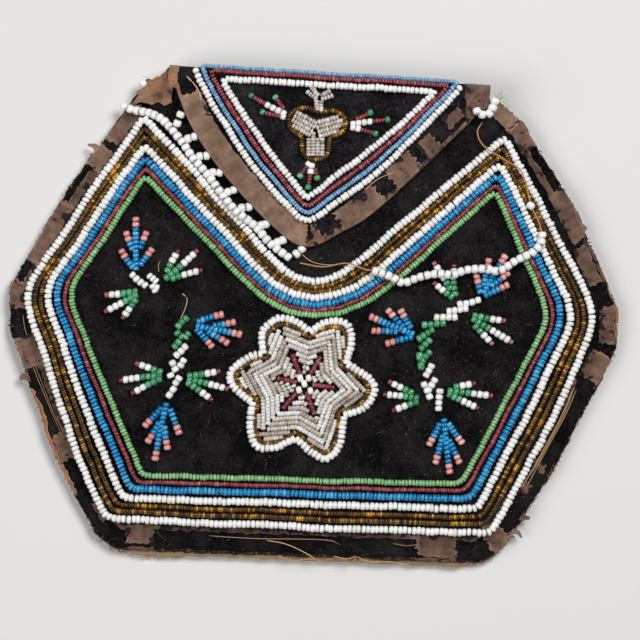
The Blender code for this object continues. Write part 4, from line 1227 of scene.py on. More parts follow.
# Stems: each stitch of beads as start x, start y, end x, end y and how many beads it holds
STEM_STITCHES = {
    "left_upper_stem": (SPRIG_WHITE, (
        (-0.0483, 0.0108, -0.0437, 0.0073, 4), (-0.0437, 0.0105, -0.0411, 0.0084, 3),
        (-0.0427, 0.0080, -0.0413, 0.0057, 2), (-0.0418, 0.0072, -0.0405, 0.0068, 1),
    )),
    "left_green_stem": (SPRIG_GREEN, (
        (-0.0324, -0.0004, -0.0354, -0.0036, 3), (-0.0320, -0.0044, -0.0334, -0.0062, 2),
        (-0.0358, -0.0045, -0.0334, -0.0062, 2), (-0.0344, -0.0066, -0.0362, -0.0090, 2),
    )),
    "left_lower_stem": (SPRIG_WHITE, (
        (-0.0325, -0.0078, -0.0358, -0.0113, 3), (-0.0328, -0.0116, -0.0342, -0.0142, 2),
        (-0.0366, -0.0122, -0.0350, -0.0154, 2), (-0.0338, -0.0164, -0.0354, -0.0190, 2),
        (-0.0368, -0.0155, -0.0362, -0.0170, 1), (-0.0352, -0.0192, -0.0372, -0.0224, 2),
    )),
    "right_upper_stem": (SPRIG_WHITE, (
        (0.0459, 0.0074, 0.0395, 0.0056, 4), (0.0427, 0.0048, 0.0367, 0.0036, 4),
        (0.0399, 0.0022, 0.0334, 0.0020, 4),
    )),
    "right_green_stem": (SPRIG_GREEN, (
        (0.0368, 0.0006, 0.0302, -0.0002, 4), (0.0337, -0.0010, 0.0292, -0.0043, 4),
        (0.0330, -0.0038, 0.0300, -0.0070, 3), (0.0331, -0.0070, 0.0306, -0.0104, 3),
        (0.0297, -0.0074, 0.0306, -0.0124, 2),
    )),
    "right_lower_stem": (SPRIG_WHITE, (
        (0.0336, -0.0104, 0.0316, -0.0142, 3), (0.0347, -0.0142, 0.0324, -0.0182, 3),
        (0.0310, -0.0154, 0.0334, -0.0202, 3), (0.0359, -0.0170, 0.0357, -0.0232, 4),
    )),
}


def stems():
    for name, (kind, stitches) in STEM_STITCHES.items():
        chance = random.Random(name)
        beads = []
        for start_x, start_y, end_x, end_y, count in stitches:
            start, end = Vector((start_x, start_y)), Vector((end_x, end_y))
            beads += string_of([kind] * count, start, end, face, chance)
        sewn_piece(name, beads)


# Three-lobed motif of the flap
TREFOIL = Vector((-0.0002, 0.0508))
TREFOIL_OUTLINE = (
    ((0.0008, 0.0556), 0.0), ((-0.0030, 0.0570), 0.0014), ((-0.0066, 0.0560), 0.0018),
    ((-0.0078, 0.0530), 0.0018), ((-0.0064, 0.0502), 0.0016), ((-0.0038, 0.0492), 0.0008),
    ((-0.0036, 0.0452), 0.0010), ((-0.0020, 0.0430), 0.0014), ((0.0022, 0.0431), 0.0014),
    ((0.0036, 0.0452), 0.0010), ((0.0036, 0.0490), 0.0008), ((0.0060, 0.0498), 0.0016),
    ((0.0080, 0.0518), 0.0018), ((0.0076, 0.0548), 0.0018), ((0.0044, 0.0566), 0.0014),
)
TREFOIL_LOBES = ((-0.0058, 0.0536), (0.0064, 0.0530), (0.0000, 0.0450))
TREFOIL_ROW_PITCH = 0.00122
LOBE_ROWS = (-1.5, -0.5, 0.5, 1.5)
LOBE_ROW_START = 0.0004
LOBE_ROW_LENGTH = 0.009
LOBE_RIM = 0.0008
TREFOIL_POINTS = 300
LEAF = (
    (0.0000, 0.0560, -0.0002, 0.0590), (0.0012, 0.0558, 0.0010, 0.0588),
    (-0.0002, 0.0592, -0.0030, 0.0612), (0.0002, 0.0600, -0.0018, 0.0624),
    (0.0010, 0.0590, 0.0042, 0.0604), (0.0008, 0.0600, 0.0034, 0.0616),
)


def trefoil():
    chance = random.Random("trefoil")
    outline = rounded(TREFOIL_OUTLINE, closed=True)
    reach = polar_reach(resampled(outline + outline[:1], TREFOIL_POINTS), TREFOIL)
    bronze = strung(BRONZE, outline, flap_top, chance, closed=True, wobble=0.00005)
    sewn_piece("trefoil_outline", bronze)

    def off_lobe(point):
        return past_rim(point, TREFOIL, reach, LOBE_RIM)

    rows = []
    for lobe in TREFOIL_LOBES:
        along = (Vector(lobe) - TREFOIL).normalized()
        for shift in LOBE_ROWS:
            start = TREFOIL + along * LOBE_ROW_START + along.orthogonal() * shift * TREFOIL_ROW_PITCH
            ends = [start, start + along * LOBE_ROW_LENGTH]
            rows.append(strung(SMALL_CLEAR, ends, flap_top, chance, skip=off_lobe, wobble=0.0))
    sewn_piece("trefoil_petals", cleared(in_turn(rows), 0.80))
    leaf = []
    for foot_x, foot_y, tip_x, tip_y in LEAF:
        ends = [Vector((foot_x, foot_y)), Vector((tip_x, tip_y))]
        leaf += strung(SMALL_CLEAR, ends, flap_top, chance, wobble=0.0)
    sewn_piece("trefoil_leaf", leaf)


# Picot edging: the foot of each picot on the edging's line, and its tip at the flap's edge
PICOT_FEET = (
    (-0.0382, 0.0494), (-0.0359, 0.0465), (-0.0328, 0.0423), (-0.0289, 0.0382), (-0.0249, 0.0332),
    (-0.0207, 0.0285), (-0.0155, 0.0247), (-0.0110, 0.0200), (-0.0055, 0.0162),
)
PICOT_TIPS = (
    (-0.0365, 0.0537), (-0.0325, 0.0480), (-0.0291, 0.0430), (-0.0254, 0.0386), (-0.0215, 0.0341),
    (-0.0173, 0.0297), (-0.0125, 0.0253), (-0.0078, 0.0212), (-0.0026, 0.0190),
)
EDGING_SHOULDER = (
    (-0.0530, 0.0562), (-0.0505, 0.0551), (-0.0478, 0.0546), (-0.0454, 0.0542),
    (-0.0429, 0.0532), (-0.0407, 0.0517),
)
CORNER_LOOP = ((0.0424, 0.0584), (0.0433, 0.0568), (0.0459, 0.0569), (0.0470, 0.0590), (0.0476, 0.0612))
STRAND_ROUTE = (
    (-0.0030, 0.0152),
    (0.0032, 0.0144),
    (0.0094, 0.0156),
    (0.0140, 0.0142),
    (0.0178, 0.0136),
    (0.0216, 0.0124),
    (0.0249, 0.0109),
    (0.0291, 0.0126),
    (0.0339, 0.0137),
    (0.0382, 0.0136),
    (0.0414, 0.0150),
    (0.0465, 0.0155),
    (0.0505, 0.0151),
    (0.0547, 0.0180),
    (0.0594, 0.0206),
    (0.0615, 0.0239),
    (0.0608, 0.0281),
    (0.0584, 0.0330),
    (0.0557, 0.0417),
    (0.0513, 0.0447),
    (0.0452, 0.0483),
    (0.0432, 0.0520),
    (0.0444, 0.0548),
)
STRAND_BEADS = (0.185, 0.660)
THREAD = 0.0004
EDGING_POINTS = 60
LOOP_POINTS = 20
STRAND_POINTS = 110
# How far over neighbouring points a loose line is held up and then eased, and how much of its full height
# over a sewn bead a loose one keeps
HELD_SPAN = 2
EASED_SPAN = 6
NESTLED = 0.92
LONE_BEADS = ((0.0582, 0.0329), (-0.0473, 0.0622))


def around(items, index, span):
    """The items at most a span before and after one."""
    return items[max(0, index - span):index + span + 1]


class Rest:
    """Heights at which loose beads and thread lie on the cloth and on the sewn beads under them."""

    def __init__(self, beads):
        self.beads = beads
        self.tree = kdtree.KDTree(len(beads))
        for index, bead in enumerate(beads):
            self.tree.insert((bead.place.x, bead.place.y, 0.0), index)
        self.tree.balance()

    def height(self, point, radius):
        best = face(point.x, point.y) + radius
        for _, index, apart in self.tree.find_range((point.x, point.y, 0.0), radius + WHITE.width / 2):
            bead = self.beads[index]
            reach = radius + bead.kind.width / 2
            if apart < reach:
                best = max(best, bead.place.z + math.sqrt(reach * reach - apart * apart) * NESTLED)
        return best


def loose_bead(kind, place, along, chance):
    """A bead on a free thread, turned and sized by chance."""
    askew = (along + Vector((chance.gauss(0, 0.1), chance.gauss(0, 0.1), chance.gauss(0, 0.1)))).normalized()
    up = askew.cross(Vector((chance.gauss(0, 1), chance.gauss(0, 1), 0.3))).normalized()
    size = chance.gauss(1.0, 0.03)
    tint = clamped(chance.gauss(0.6, 0.15))
    return Bead(kind, place, askew, up, tint, (size, size, chance.gauss(1.0, 0.03)))


def along_route(places, kind, chance):
    """Loose beads one after another along a line of places."""
    total = path_length(places)
    count = max(1, round(total / kind.length))
    walk = Walk(places)
    return [loose_bead(kind, *walk.at((index + 0.5) * total / count), chance) for index in range(count)]


def flap_edging(rest):
    chance = random.Random("edging")
    radius = EDGING.width / 2
    line = smooth_curve(EDGING_SHOULDER + PICOT_FEET[1:], EDGING_POINTS)
    rough = [at_height(p, rest.height(p, radius)) for p in line]
    places = []
    for index, place in enumerate(rough):
        near = around(rough, index, HELD_SPAN)
        places.append(at_height(place, sum(q.z for q in near) / len(near)))
    beads = along_route(places, EDGING, chance)
    for foot, tip in zip(PICOT_FEET, PICOT_TIPS):
        foot, tip = Vector(foot), Vector(tip)
        start = min(places, key=lambda place: (place.xy - foot).length)
        end = Vector((tip.x, tip.y, flap_top(tip.x, tip.y) - VELVET * 0.6))
        along = (end - start).normalized()
        for share in (0.50, 1.0):
            beads.append(loose_bead(EDGING, mix(start, end, share), along, chance))
    return settle(beads_piece("flap_edging", beads), "white_bead", "flap_edging")


def corner_loop():
    chance = random.Random("corner loop")
    line = smooth_curve(CORNER_LOOP, LOOP_POINTS)
    height = FOLD_TOP + RIBBON + EDGING.width / 2
    places = [at_height(p, height) for p in line]
    loop = beads_piece("corner_loop", along_route(places, EDGING, chance))
    return settle(loop, "white_bead", "corner_loop")


def strand_places(rest):
    """The loose strand's line, which bridges the dips between what it rests on."""
    flat = smooth_curve(STRAND_ROUTE, STRAND_POINTS)
    heights = [rest.height(point, EDGING.width / 2) for point in flat]
    held = [max(around(heights, i, HELD_SPAN)) for i in range(len(heights))]
    eased = []
    for i, height in enumerate(heights):
        span = around(held, i, EASED_SPAN)
        eased.append(max(height, sum(span) / len(span)))
    return [at_height(p, z) for p, z in zip(flat, eased)]


def loose_strand(rest):
    """The torn length of edging, its beads made as three pieces, and the thread they hang on."""
    places = strand_places(rest)
    thread = curve_piece("strand_thread", places, THREAD / 2, "straw_thread")
    settle(thread, "white_bead", "loose_strand")
    chance = random.Random("loose strand")
    first, last = (round(share * (len(places) - 1)) for share in STRAND_BEADS)
    beads = along_route(places[first:last + 1], EDGING, chance)
    third = len(beads) // 3 + 1
    for index in range(3):
        part = beads[index * third:(index + 1) * third]
        group = beads_piece(f"strand_beads_{index + 1}", part)
        settle(group, "white_bead")
    path_length(places)


def lone_beads(rest):
    chance = random.Random("lone")
    beads = []
    for x, y in LONE_BEADS:
        point = Vector((x, y))
        height = rest.height(point, EDGING.width / 2)
        beads.append(loose_bead(EDGING, at_height(point, height), Vector((0.6, 0.8, 0.0)), chance))
    settle(beads_piece("lone_beads", beads), "white_bead")


def curve_piece(name, places, radius, finish):
    """A thread as one open curve."""
    curve = bpy.data.curves.new(name, "CURVE")
    curve.dimensions = "3D"
    curve.bevel_depth = radius
    curve.bevel_resolution = 2
    curve.use_fill_caps = True
    spline = curve.splines.new("POLY")
    spline.points.add(len(places) - 1)
    for point, place in zip(spline.points, places):
        point.co = (*place, 1.0)
    curve.materials.append(MATERIALS[finish])
    return placed(name, curve)


def fibres_piece(name, lines, finish, slot, chance):
    """Hairs and stitches as thin tapered tubes, each a list of places and a radius."""
    verts, faces, tints = [], [], []
    for places, radius in lines:
        base, tint = len(verts), chance.random()
        for index, place in enumerate(places):
            before, follow = places[max(0, index - 1)], places[min(index + 1, len(places) - 1)]
            along = (follow - before).normalized()
            side = along.orthogonal().normalized()
            up = along.cross(side)
            wide = radius * (0.35 if index in (0, len(places) - 1) else 1.0)
            for turn in (0.0, math.tau / 3, math.tau * 2 / 3):
                verts.append(place + (side * math.cos(turn) + up * math.sin(turn)) * wide)
        tints += [tint] * (3 * len(places))
        for index in range(len(places) - 1):
            a, b = base + index * 3, base + (index + 1) * 3
            faces += [(a + i, a + (i + 1) % 3, b + (i + 1) % 3, b + i) for i in range(3)]
        faces.append((base + 2, base + 1, base))
        end = base + (len(places) - 1) * 3
        faces.append((end, end + 1, end + 2))
    return settle(mesh_piece(name, verts, faces, [finish], tints), slot)


# Cloth

PANEL_TOP = OUTLINE["mouth"][0]
PANEL_FOOT = OUTLINE["hem"][0]
# From which share of its height up a sheet follows the mouth's tilt, and how near its rim it turns ragged
MOUTH_BLEND = 0.75
RIM_START = 0.47
RIM_BLEND = 0.03
RAGGED = 0.0004
RAGGED_PITCH = 0.0022


def panel_place(surface, drawn_in=0.0, ragged=0.0, seed=0.0):
    """Places of a sheet of the pouch's shape, drawn in from its outline by an even width."""
    def place(across, up):
        level = mix(PANEL_FOOT + drawn_in, PANEL_TOP - drawn_in, up)
        left, right = edge_x(-1, level) + drawn_in, edge_x(1, level) - drawn_in
        x = mix(left, right, across)
        tilted = ease((up - MOUTH_BLEND) / (1 - MOUTH_BLEND))
        y = level + (mouth_edge(x) + BINDING_OUTSIDE - PANEL_TOP) * tilted
        rim = max(ease((abs(share - 0.5) - RIM_START) / RIM_BLEND) for share in (across, up))
        x += ragged * rim * wander(y, x, RAGGED_PITCH, seed)
        y += ragged * rim * wander(x, y, RAGGED_PITCH, seed + 1)
        return Vector((x, y, surface(x, y)))

    return place


HEM_LET_OUT = 0.0018


def hem_let_out(place):
    """The linen hangs out past the velvet along the hem, more in some places than in others."""
    def moved(across, up):
        spot = place(across, up)
        share = ease((0.05 - up) / 0.05) * ease((0.5 - abs(across - 0.5)) / 0.06)
        spot.y -= share * (HEM_LET_OUT + 0.0004 * wander(spot.x, 0.0, 0.0035, 23))
        return spot

    return moved


def front_layers():
    front = woven_grid(
        "front_velvet", 132, 106, panel_place(face, BINDING_OUTSIDE, RAGGED, 11), "velvet", VELVET,
    )
    settle(front, "velvet", "front_panel")
    linen_top = lifted(face, -VELVET - GAP)
    linen_place = hem_let_out(panel_place(linen_top, BINDING_OUTSIDE, RAGGED, 21))
    backing = woven_grid("front_linen", 90, 76, linen_place, "linen", LINEN)
    settle(backing, "linen", "front_backing")
    lining_top = lifted(face, -VELVET - 2 * GAP - LINEN)
    lining = woven_grid("front_lining_cloth", 50, 40, panel_place(lining_top, 0.0095), "lining", LINING)
    settle(lining, "lining", "front_lining")


def back_layers():
    top = lifted(back, VELVET)
    velvet_back = woven_grid(
        "back_velvet", 90, 72, panel_place(top, BINDING_OUTSIDE, RAGGED, 31), "velvet", VELVET,
    )
    settle(velvet_back, "velvet", "back_panel")
    base = BACK_LINING_BASE + LINING
    lining = woven_grid(
        "back_lining_cloth", 50, 40, panel_place(lambda x, y: base, 0.0100), "lining", LINING,
    )
    settle(lining, "lining", "back_lining")


FLAP_LENGTH_POINTS = 70


def flap_sides(drawn_in):
    """The flap's left and right edges from the fold to the tip as smooth lines."""
    left, right = ([Vector((x, crease(x)))] for x in FOLD_ENDS)
    left += [Vector(edge[0]) for edge in FLAP_EDGES]
    right += [Vector(edge[1]) for edge in FLAP_EDGES]
    path = left + right[::-1]
    path = [point + inward(path, index) * drawn_in for index, point in enumerate(path)]
    for end in (path[0], path[-1]):
        end.y = crease(end.x)
    sides = path[:len(left)], path[len(left):][::-1]
    return [smooth_curve(side, FLAP_LENGTH_POINTS) for side in sides]


def flap_place(drawn_in, depth, fold_rows, start_turn):
    """Places of the flap's cloth, a depth under its surface, from the tip up and round the fold."""
    left, right = flap_sides(drawn_in)
    count = len(left)
    rows = [(left[i], right[i], None) for i in range(count - 1, -1, -1)]
    for step in range(1, fold_rows + 1):
        rows.append((left[0], right[0], mix(90.0, start_turn, step / fold_rows)))

    def place(across, up):
        here, there, turn = nearest(rows, up)
        spot = mix(here, there, across)
        if turn is None:
            return on_surface(spot, flap_top, -depth)
        angle = math.radians(turn)
        reach, middle = FOLD_REACH - depth, FOLD_TOP / 2
        return Vector((
            spot.x, spot.y + reach * math.cos(angle), middle + (middle - depth) * math.sin(angle),
        ))

    return place, len(rows) - 1


def flap_cloth():
    place, rows = flap_place(BINDING_OUTSIDE, 0.0, 22, -90.0)
    flap = woven_grid("flap_velvet_cloth", 64, rows, place, "flap_velvet", VELVET)
    settle(flap, "velvet", "flap")
    place, rows = flap_place(FLAP_LINING_INSET, VELVET + GAP, 14, -60.0)
    lining = woven_grid("flap_lining_cloth", 40, rows, place, "lining", LINING)
    settle(lining, "lining", "flap_lining")


# Ribbon round the pouch: what is left on the face, by where it starts and ends along the edge from the
# mouth's left corner, how far in its outer and inner sides lie, and how worn it is (0 dark, 1 bleached)
Scrap = namedtuple("Scrap", "start end outer inner wear")
EDGE_SCRAPS = (
    Scrap(0.0070, 0.0196, 0.0000, 0.0045, 0.50),
    Scrap(0.0218, 0.0285, 0.0000, 0.0044, 0.60),
    Scrap(0.0275, 0.0415, 0.0020, 0.0044, 0.42),
    Scrap(0.0400, 0.0590, 0.0000, 0.0044, 0.52),
    Scrap(0.0585, 0.0650, 0.0024, 0.0040, 0.40),
    Scrap(0.0648, 0.0732, 0.0000, 0.0042, 0.52),
    Scrap(0.0818, 0.0905, 0.0000, 0.0058, 0.50),
    Scrap(0.0900, 0.1105, 0.0041, 0.0056, 0.36),
    Scrap(0.1100, 0.1180, 0.0010, 0.0058, 0.48),
    Scrap(0.1315, 0.1372, 0.0028, 0.0062, 0.46),
    Scrap(0.1385, 0.1500, 0.0056, 0.0072, 0.40),
    Scrap(0.1485, 0.1560, 0.0018, 0.0072, 0.48),
    Scrap(0.1550, 0.2280, 0.0059, 0.0071, 0.38),
    Scrap(0.2272, 0.2378, 0.0012, 0.0072, 0.50),
    Scrap(0.2370, 0.2490, 0.0060, 0.0072, 0.36),
    Scrap(0.2490, 0.2560, 0.0000, 0.0080, 0.50),
    Scrap(0.2560, 0.2670, 0.0056, 0.0070, 0.30),
    Scrap(0.2670, 0.2702, 0.0026, 0.0074, 0.46),
    Scrap(0.2742, 0.2772, 0.0020, 0.0066, 0.44),
    Scrap(0.2800, 0.3010, 0.0058, 0.0072, 0.26),
    Scrap(0.3030, 0.3110, 0.0000, 0.0062, 0.48),
    Scrap(0.3150, 0.3262, 0.0008, 0.0050, 0.46),
    Scrap(0.3330, 0.3440, 0.0010, 0.0052, 0.46),
    Scrap(0.3455, 0.3608, 0.0000, 0.0048, 0.46),
    Scrap(0.3600, 0.3760, 0.0024, 0.0044, 0.42),
    Scrap(0.3742, 0.3830, 0.0000, 0.0046, 0.52),
    Scrap(0.3815, 0.3895, 0.0000, 0.0042, 0.70),
)
# Scraps that hang out past the edge: where, how wide and how far out
EDGE_TAGS = (
    (0.0236, 0.0022, 0.0034, 0.72), (0.0252, 0.0016, 0.0014, 0.80), (0.0925, 0.0030, 0.0028, 0.50),
    (0.2572, 0.0018, 0.0034, 0.62), (0.2556, 0.0010, 0.0018, 0.55), (0.2620, 0.0026, 0.0024, 0.50),
    (0.3484, 0.0030, 0.0016, 0.60), (0.2765, 0.0014, 0.0010, 0.5), (0.0412, 0.0012, 0.0008, 0.5),
)
# Stretches where the worn fold of the ribbon shows as an orange line, and where it is gone to dark
ORANGE_STRETCHES = ((0.0955, 0.1275), (0.3175, 0.3320))
DARK_STRETCHES = (
    (0.0200, 0.0215), (0.0285, 0.0400), (0.0592, 0.0648), (0.0732, 0.0815), (0.0905, 0.0955),
    (0.1275, 0.1480), (0.1560, 0.2270), (0.2380, 0.2490), (0.2560, 0.3030), (0.3110, 0.3150),
    (0.3262, 0.3330), (0.3608, 0.3740),
)
RIBBON_STEP = 0.00036
CURL = 0.00025
TEAR_REACH = 0.0034
SCRAP_THICKNESS = 0.00022
WRAP_STEP = 0.0009
WRAP_LIP = 0.0009


def in_stretch(distance, stretches):
    return any(start <= distance <= end for start, end in stretches)


def on_edge(walk, distance, depth, surface, height):
    """A place a depth in from an edge, on the surface and raised by a height."""
    point, along = walk.at(distance)
    spot = point + left_of(along) * depth
    return on_surface(spot, surface, height)


def scrap_piece(name, scrap, walk, surface):
    """A torn scrap of ribbon on the cloth, ragged and a little curled at its free sides."""
    length = scrap.end - scrap.start
    rows = max(4, round(length / RIBBON_STEP))
    width = scrap.inner - scrap.outer
    columns = max(4, round(width / RIBBON_STEP))

    def place(across, up):
        near_end = (abs(up - 0.5) * 2) ** (4 + length * 400)
        frayed = 0.0011 * wander(across * width, scrap.start * 9, 0.0009, 41)
        distance = mix(scrap.start, scrap.end, up) + frayed * near_end
        inner = scrap.inner + 0.00045 * wander(distance, 0.0, 0.0024, 42)
        inner += 0.00030 * wander(distance, 0.0, 0.0008, 47)
        outer = 0.00005
        if scrap.outer > 0:
            outer = scrap.outer + 0.00055 * wander(distance, 0.0, 0.0020, 43 + scrap.start)
            outer += 0.00035 * wander(distance, 0.0, 0.0008, 48)
        curl = CURL * max(ease((abs(across - 0.5) - 0.3) / 0.2), near_end)
        lift = 0.00030 + curl * (0.6 + 1.1 * wander(distance, across, 0.003, 44))
        pleat = 0.00016 * wander(distance, across * 0.0008, 0.0011, 45)
        return on_edge(walk, distance, mix(outer, inner, across), surface, lift + pleat)

    def wear(across, up):
        distance = mix(scrap.start, scrap.end, up)
        depth = mix(scrap.outer, scrap.inner, across)
        from_rim = min(width * (1 - across), length * up, length * (1 - up))
        torn = wander(distance, depth, 0.0026, 68) + 0.6 * wander(distance, depth, 0.0010, 69)
        if torn > 0.10 + from_rim / TEAR_REACH + 4 * max(0.0, scrap.wear - 0.54):
            return 0.0
        rim = 0.20 * ease((0.10 - min(across, up, 1 - up)) / 0.10)
        # Lightness noise: partly uneven fading, partly painted highlight on the rumpled silk
        patchy = 0.13 * wander(distance, across * 0.004, 0.0035, 46)
        return scrap.wear + rim + patchy + 0.12 * wander(distance, across * 0.001, 0.0010, 49)

    return woven_grid(name, columns, rows, place, "ribbon", None, wear)


def tag_piece(name, distance, width, reach, wear_level, walk):
    """A pointed scrap that hangs out past the edge."""
    def place(across, up):
        taper = (up - 0.5) * width * (1 - 0.75 * across) + 0.0004 * math.sin(across * 5 + distance * 900)
        point, along = walk.at(distance + taper)
        spot = point - left_of(along) * (across * reach - 0.0006)
        drop = across * across * 0.0012
        return at_height(spot, RIM_FRONT + RIBBON - drop + 0.0002 * math.sin(up * 9))

    return woven_grid(name, 6, 5, place, "ribbon", None, lambda across, up: wear_level + 0.2 * across)


def wrap_piece(walk):
    """The ribbon from the worn fold at the edge, down the side and under the back."""
    rows = round(EDGE_LENGTH / WRAP_STEP)

    def place(across, up):
        distance = up * EDGE_LENGTH
        rough = 0.0004 * wander(distance, 0.0, 0.0013, 51) + 0.0004 * wander(distance, 0.0, 0.0060, 54)
        top = RIM_FRONT + 0.00028 + 0.3 * rough
        dark = in_stretch(distance, DARK_STRETCHES)
        lip = 0.00015 if dark else WRAP_LIP + rough
        section = (
            (BINDING_OUTSIDE + BINDING_BACK, GAP), (0.0030, GAP), (0.0008, GAP), (0.0002, 0.0008),
            (0.0, 0.0016), (0.0, top - 0.0007), (0.0002, top - 0.0002), (lip, top),
        )
        depth, height = nearest(section, across)
        if dark and across > 0.8:
            height -= 0.0004
        point, along = walk.at(distance)
        spot = point + left_of(along) * (depth + 1.2 * rough)
        return at_height(spot, height)

    def wear(across, up):
        distance = up * EDGE_LENGTH
        base = 0.44 + 0.12 * wander(distance, across * 0.01, 0.004, 52)
        if across > 0.6 and in_stretch(distance, ORANGE_STRETCHES):
            return 0.98
        if across > 0.6 and in_stretch(distance, DARK_STRETCHES):
            return 0.12 + 0.1 * wander(distance, 0.0, 0.003, 53)
        return base

    return woven_grid("wrap", 7, rows, place, "ribbon", None, wear)


def edge_ribbon():
    walk = Walk(EDGE)
    pieces = [wrap_piece(walk)]
    for index, scrap in enumerate(EDGE_SCRAPS):
        pieces.append(scrap_piece(f"scrap_{index}", scrap, walk, face))
    for index, tag in enumerate(EDGE_TAGS):
        pieces.append(tag_piece(f"tag_{index}", *tag, walk))
    ribbon = thickened(joined("edge_ribbon", pieces), SCRAP_THICKNESS)
    settle(ribbon, "ribbon", "edge_binding")


MOUTH_RIBBON_ENDS = (-0.0350, 0.0385)


def mouth_ribbon():
    """Ribbon folded over the face's free edge at the mouth, which the flap hides."""
    def place(across, up):
        x = mix(*MOUTH_RIBBON_ENDS, up)
        edge = mouth_edge(x)
        front, outside = edge - MOUTH_BINDING, edge + BINDING_OUTSIDE
        top, bottom = face(x, edge) + GAP, face(x, edge) - FRONT_STACK - GAP
        section = (
            (front, face(x, front) + GAP), (mix(front, edge, 0.6), face(x, mix(front, edge, 0.6)) + GAP),
            (edge, top), (outside, top - 0.0004), (outside, bottom + 0.0002), (edge, bottom),
            (front, face(x, front) - FRONT_STACK - GAP),
        )
        y, z = nearest(section, 1 - across)
        return Vector((x, y, z))

    ribbon = woven_grid("mouth_ribbon", 6, 60, place, "ribbon", None, lambda across, up: 0.42)
    settle(thickened(ribbon, 0.00025), "ribbon", "mouth_binding")


# What is left of the flap's ribbon, by distance along its edge from the fold's left end round the tip. The
# long first scrap is set lighter, partly for its own paler colour and partly as painted highlight
FLAP_SCRAPS = (
    Scrap(0.0060, 0.0600, 0.0000, 0.0060, 0.64),
    Scrap(0.0595, 0.0628, 0.0000, 0.0022, 0.46),
    Scrap(0.0622, 0.0648, 0.0000, 0.0058, 0.50),
    Scrap(0.0645, 0.0712, 0.0000, 0.0019, 0.50),
    Scrap(0.0706, 0.0850, 0.0000, 0.0060, 0.56),
    Scrap(0.0845, 0.0905, 0.0000, 0.0010, 0.44),
    Scrap(0.0898, 0.0985, 0.0000, 0.0060, 0.52),
    Scrap(0.0980, 0.1015, 0.0000, 0.0008, 0.44),
    Scrap(0.1005, 0.1058, 0.0006, 0.0056, 0.50),
    Scrap(0.1050, 0.1110, 0.0000, 0.0007, 0.40),
    Scrap(0.1105, 0.1165, 0.0022, 0.0052, 0.46),
    Scrap(0.1150, 0.1215, 0.0000, 0.0030, 0.44),
)
FOLD_SCRAPS = ((-0.0402, -0.0376, 0.90), (0.0396, 0.0463, 0.46))
FLAP_ORANGE = ((0.0000, 0.0062),)
FLAP_DARK = ((0.1215, 0.1300),)


def flap_edge_path():
    left, right = flap_sides(0.0)
    return softened(left + right[::-1], 0.0025)


def flap_wrap(walk, total):
    """The ribbon's fold at the flap's edge and its underside."""
    def place(across, up):
        distance = up * total
        rough = 0.0003 * wander(distance, 1.0, 0.0016, 61)
        point, along = walk.at(distance)
        top = flap_top(point.x, min(point.y, crease(point.x))) + 0.00024
        lip = WRAP_LIP + rough
        section = (
            (0.0028, top - VELVET - 0.0006), (0.0008, top - VELVET - 0.0005), (0.0, top - VELVET * 0.7),
            (0.0, top - 0.0003), (0.0003, top), (lip, top + 0.00005),
        )
        depth, height = nearest(section, across)
        spot = point + left_of(along) * depth
        return at_height(spot, height)

    def wear(across, up):
        distance = up * total
        if across > 0.5 and in_stretch(distance, FLAP_ORANGE):
            return 0.95
        if across > 0.5 and in_stretch(distance, FLAP_DARK):
            return 0.2
        return 0.52 + 0.12 * wander(distance, 0.0, 0.004, 62)

    return woven_grid("flap_wrap", 5, round(total / WRAP_STEP), place, "ribbon", None, wear)


def fold_scrap(name, left, right, level):
    """A scrap of ribbon that goes over the fold at one of its ends."""
    def place(across, up):
        x = mix(left, right, across) + 0.0005 * wander(up * 0.007, left, 0.0015, 64)
        ragged = 0.0014 * wander(x, up, 0.0012, 65) * (1 - up)
        over = mix(-0.0036, FOLD_REACH * 0.97, up) + ragged
        y = crease(x) + min(over, FOLD_REACH * 0.97)
        rumple = 0.0003 * wander(x, y, 0.0012, 66)
        return Vector((x, y, flap_top(x, y) + 0.0004 + rumple))

    def wear(across, up):
        return level + 0.22 * wander(across * 0.006, up * 0.006, 0.0016, 67)

    return woven_grid(name, 12, 16, place, "ribbon", None, wear)


def flap_ribbon():
    path = flap_edge_path()
    walk, total = Walk(path), path_length(path)
    pieces = [flap_wrap(walk, total)]
    for index, scrap in enumerate(FLAP_SCRAPS):
        pieces.append(scrap_piece(f"flap_scrap_{index}", scrap, walk, flap_top))
    for index, scrap in enumerate(FOLD_SCRAPS):
        pieces.append(fold_scrap(f"fold_scrap_{index}", *scrap))
    ribbon = thickened(joined("flap_ribbon", pieces), SCRAP_THICKNESS)
    settle(ribbon, "ribbon", "flap_binding")


# Torn silk at the pouch's upper left corner, from its outer side to the flap: corners of the scrap
SILK_CORNERS = ((-0.0497, 0.0572), (-0.0392, 0.0565), (-0.0385, 0.0668), (-0.0462, 0.0632))


def torn_silk():
    low_left, low_right, high_right, high_left = (Vector(corner) for corner in SILK_CORNERS)

    def place(across, up):
        spot = mix(mix(low_left, low_right, across), mix(high_left, high_right, across), up)
        ragged = Vector((wander(up, across, 0.22, 71), wander(across, up, 0.18, 72))) * 0.0010
        rim = ease((max(abs(across - 0.5), abs(up - 0.5)) - 0.35) / 0.15)
        spot += ragged * rim
        height = mix(RIM_FRONT + 0.0006, 0.0070, ease(across)) + 0.0006 * math.sin(across * 7 + up * 4)
        crumple = 0.00090 * wander(spot.x, spot.y, 0.0018, 73)
        return at_height(spot, height + crumple)

    silk = woven_grid(
        "torn_silk", 40, 30, place, "ribbon", None,
        lambda across, up: 0.86 + 0.40 * wander(across, up, 0.14, 74),
    )
    settle(thickened(silk, 0.0002), "ribbon")


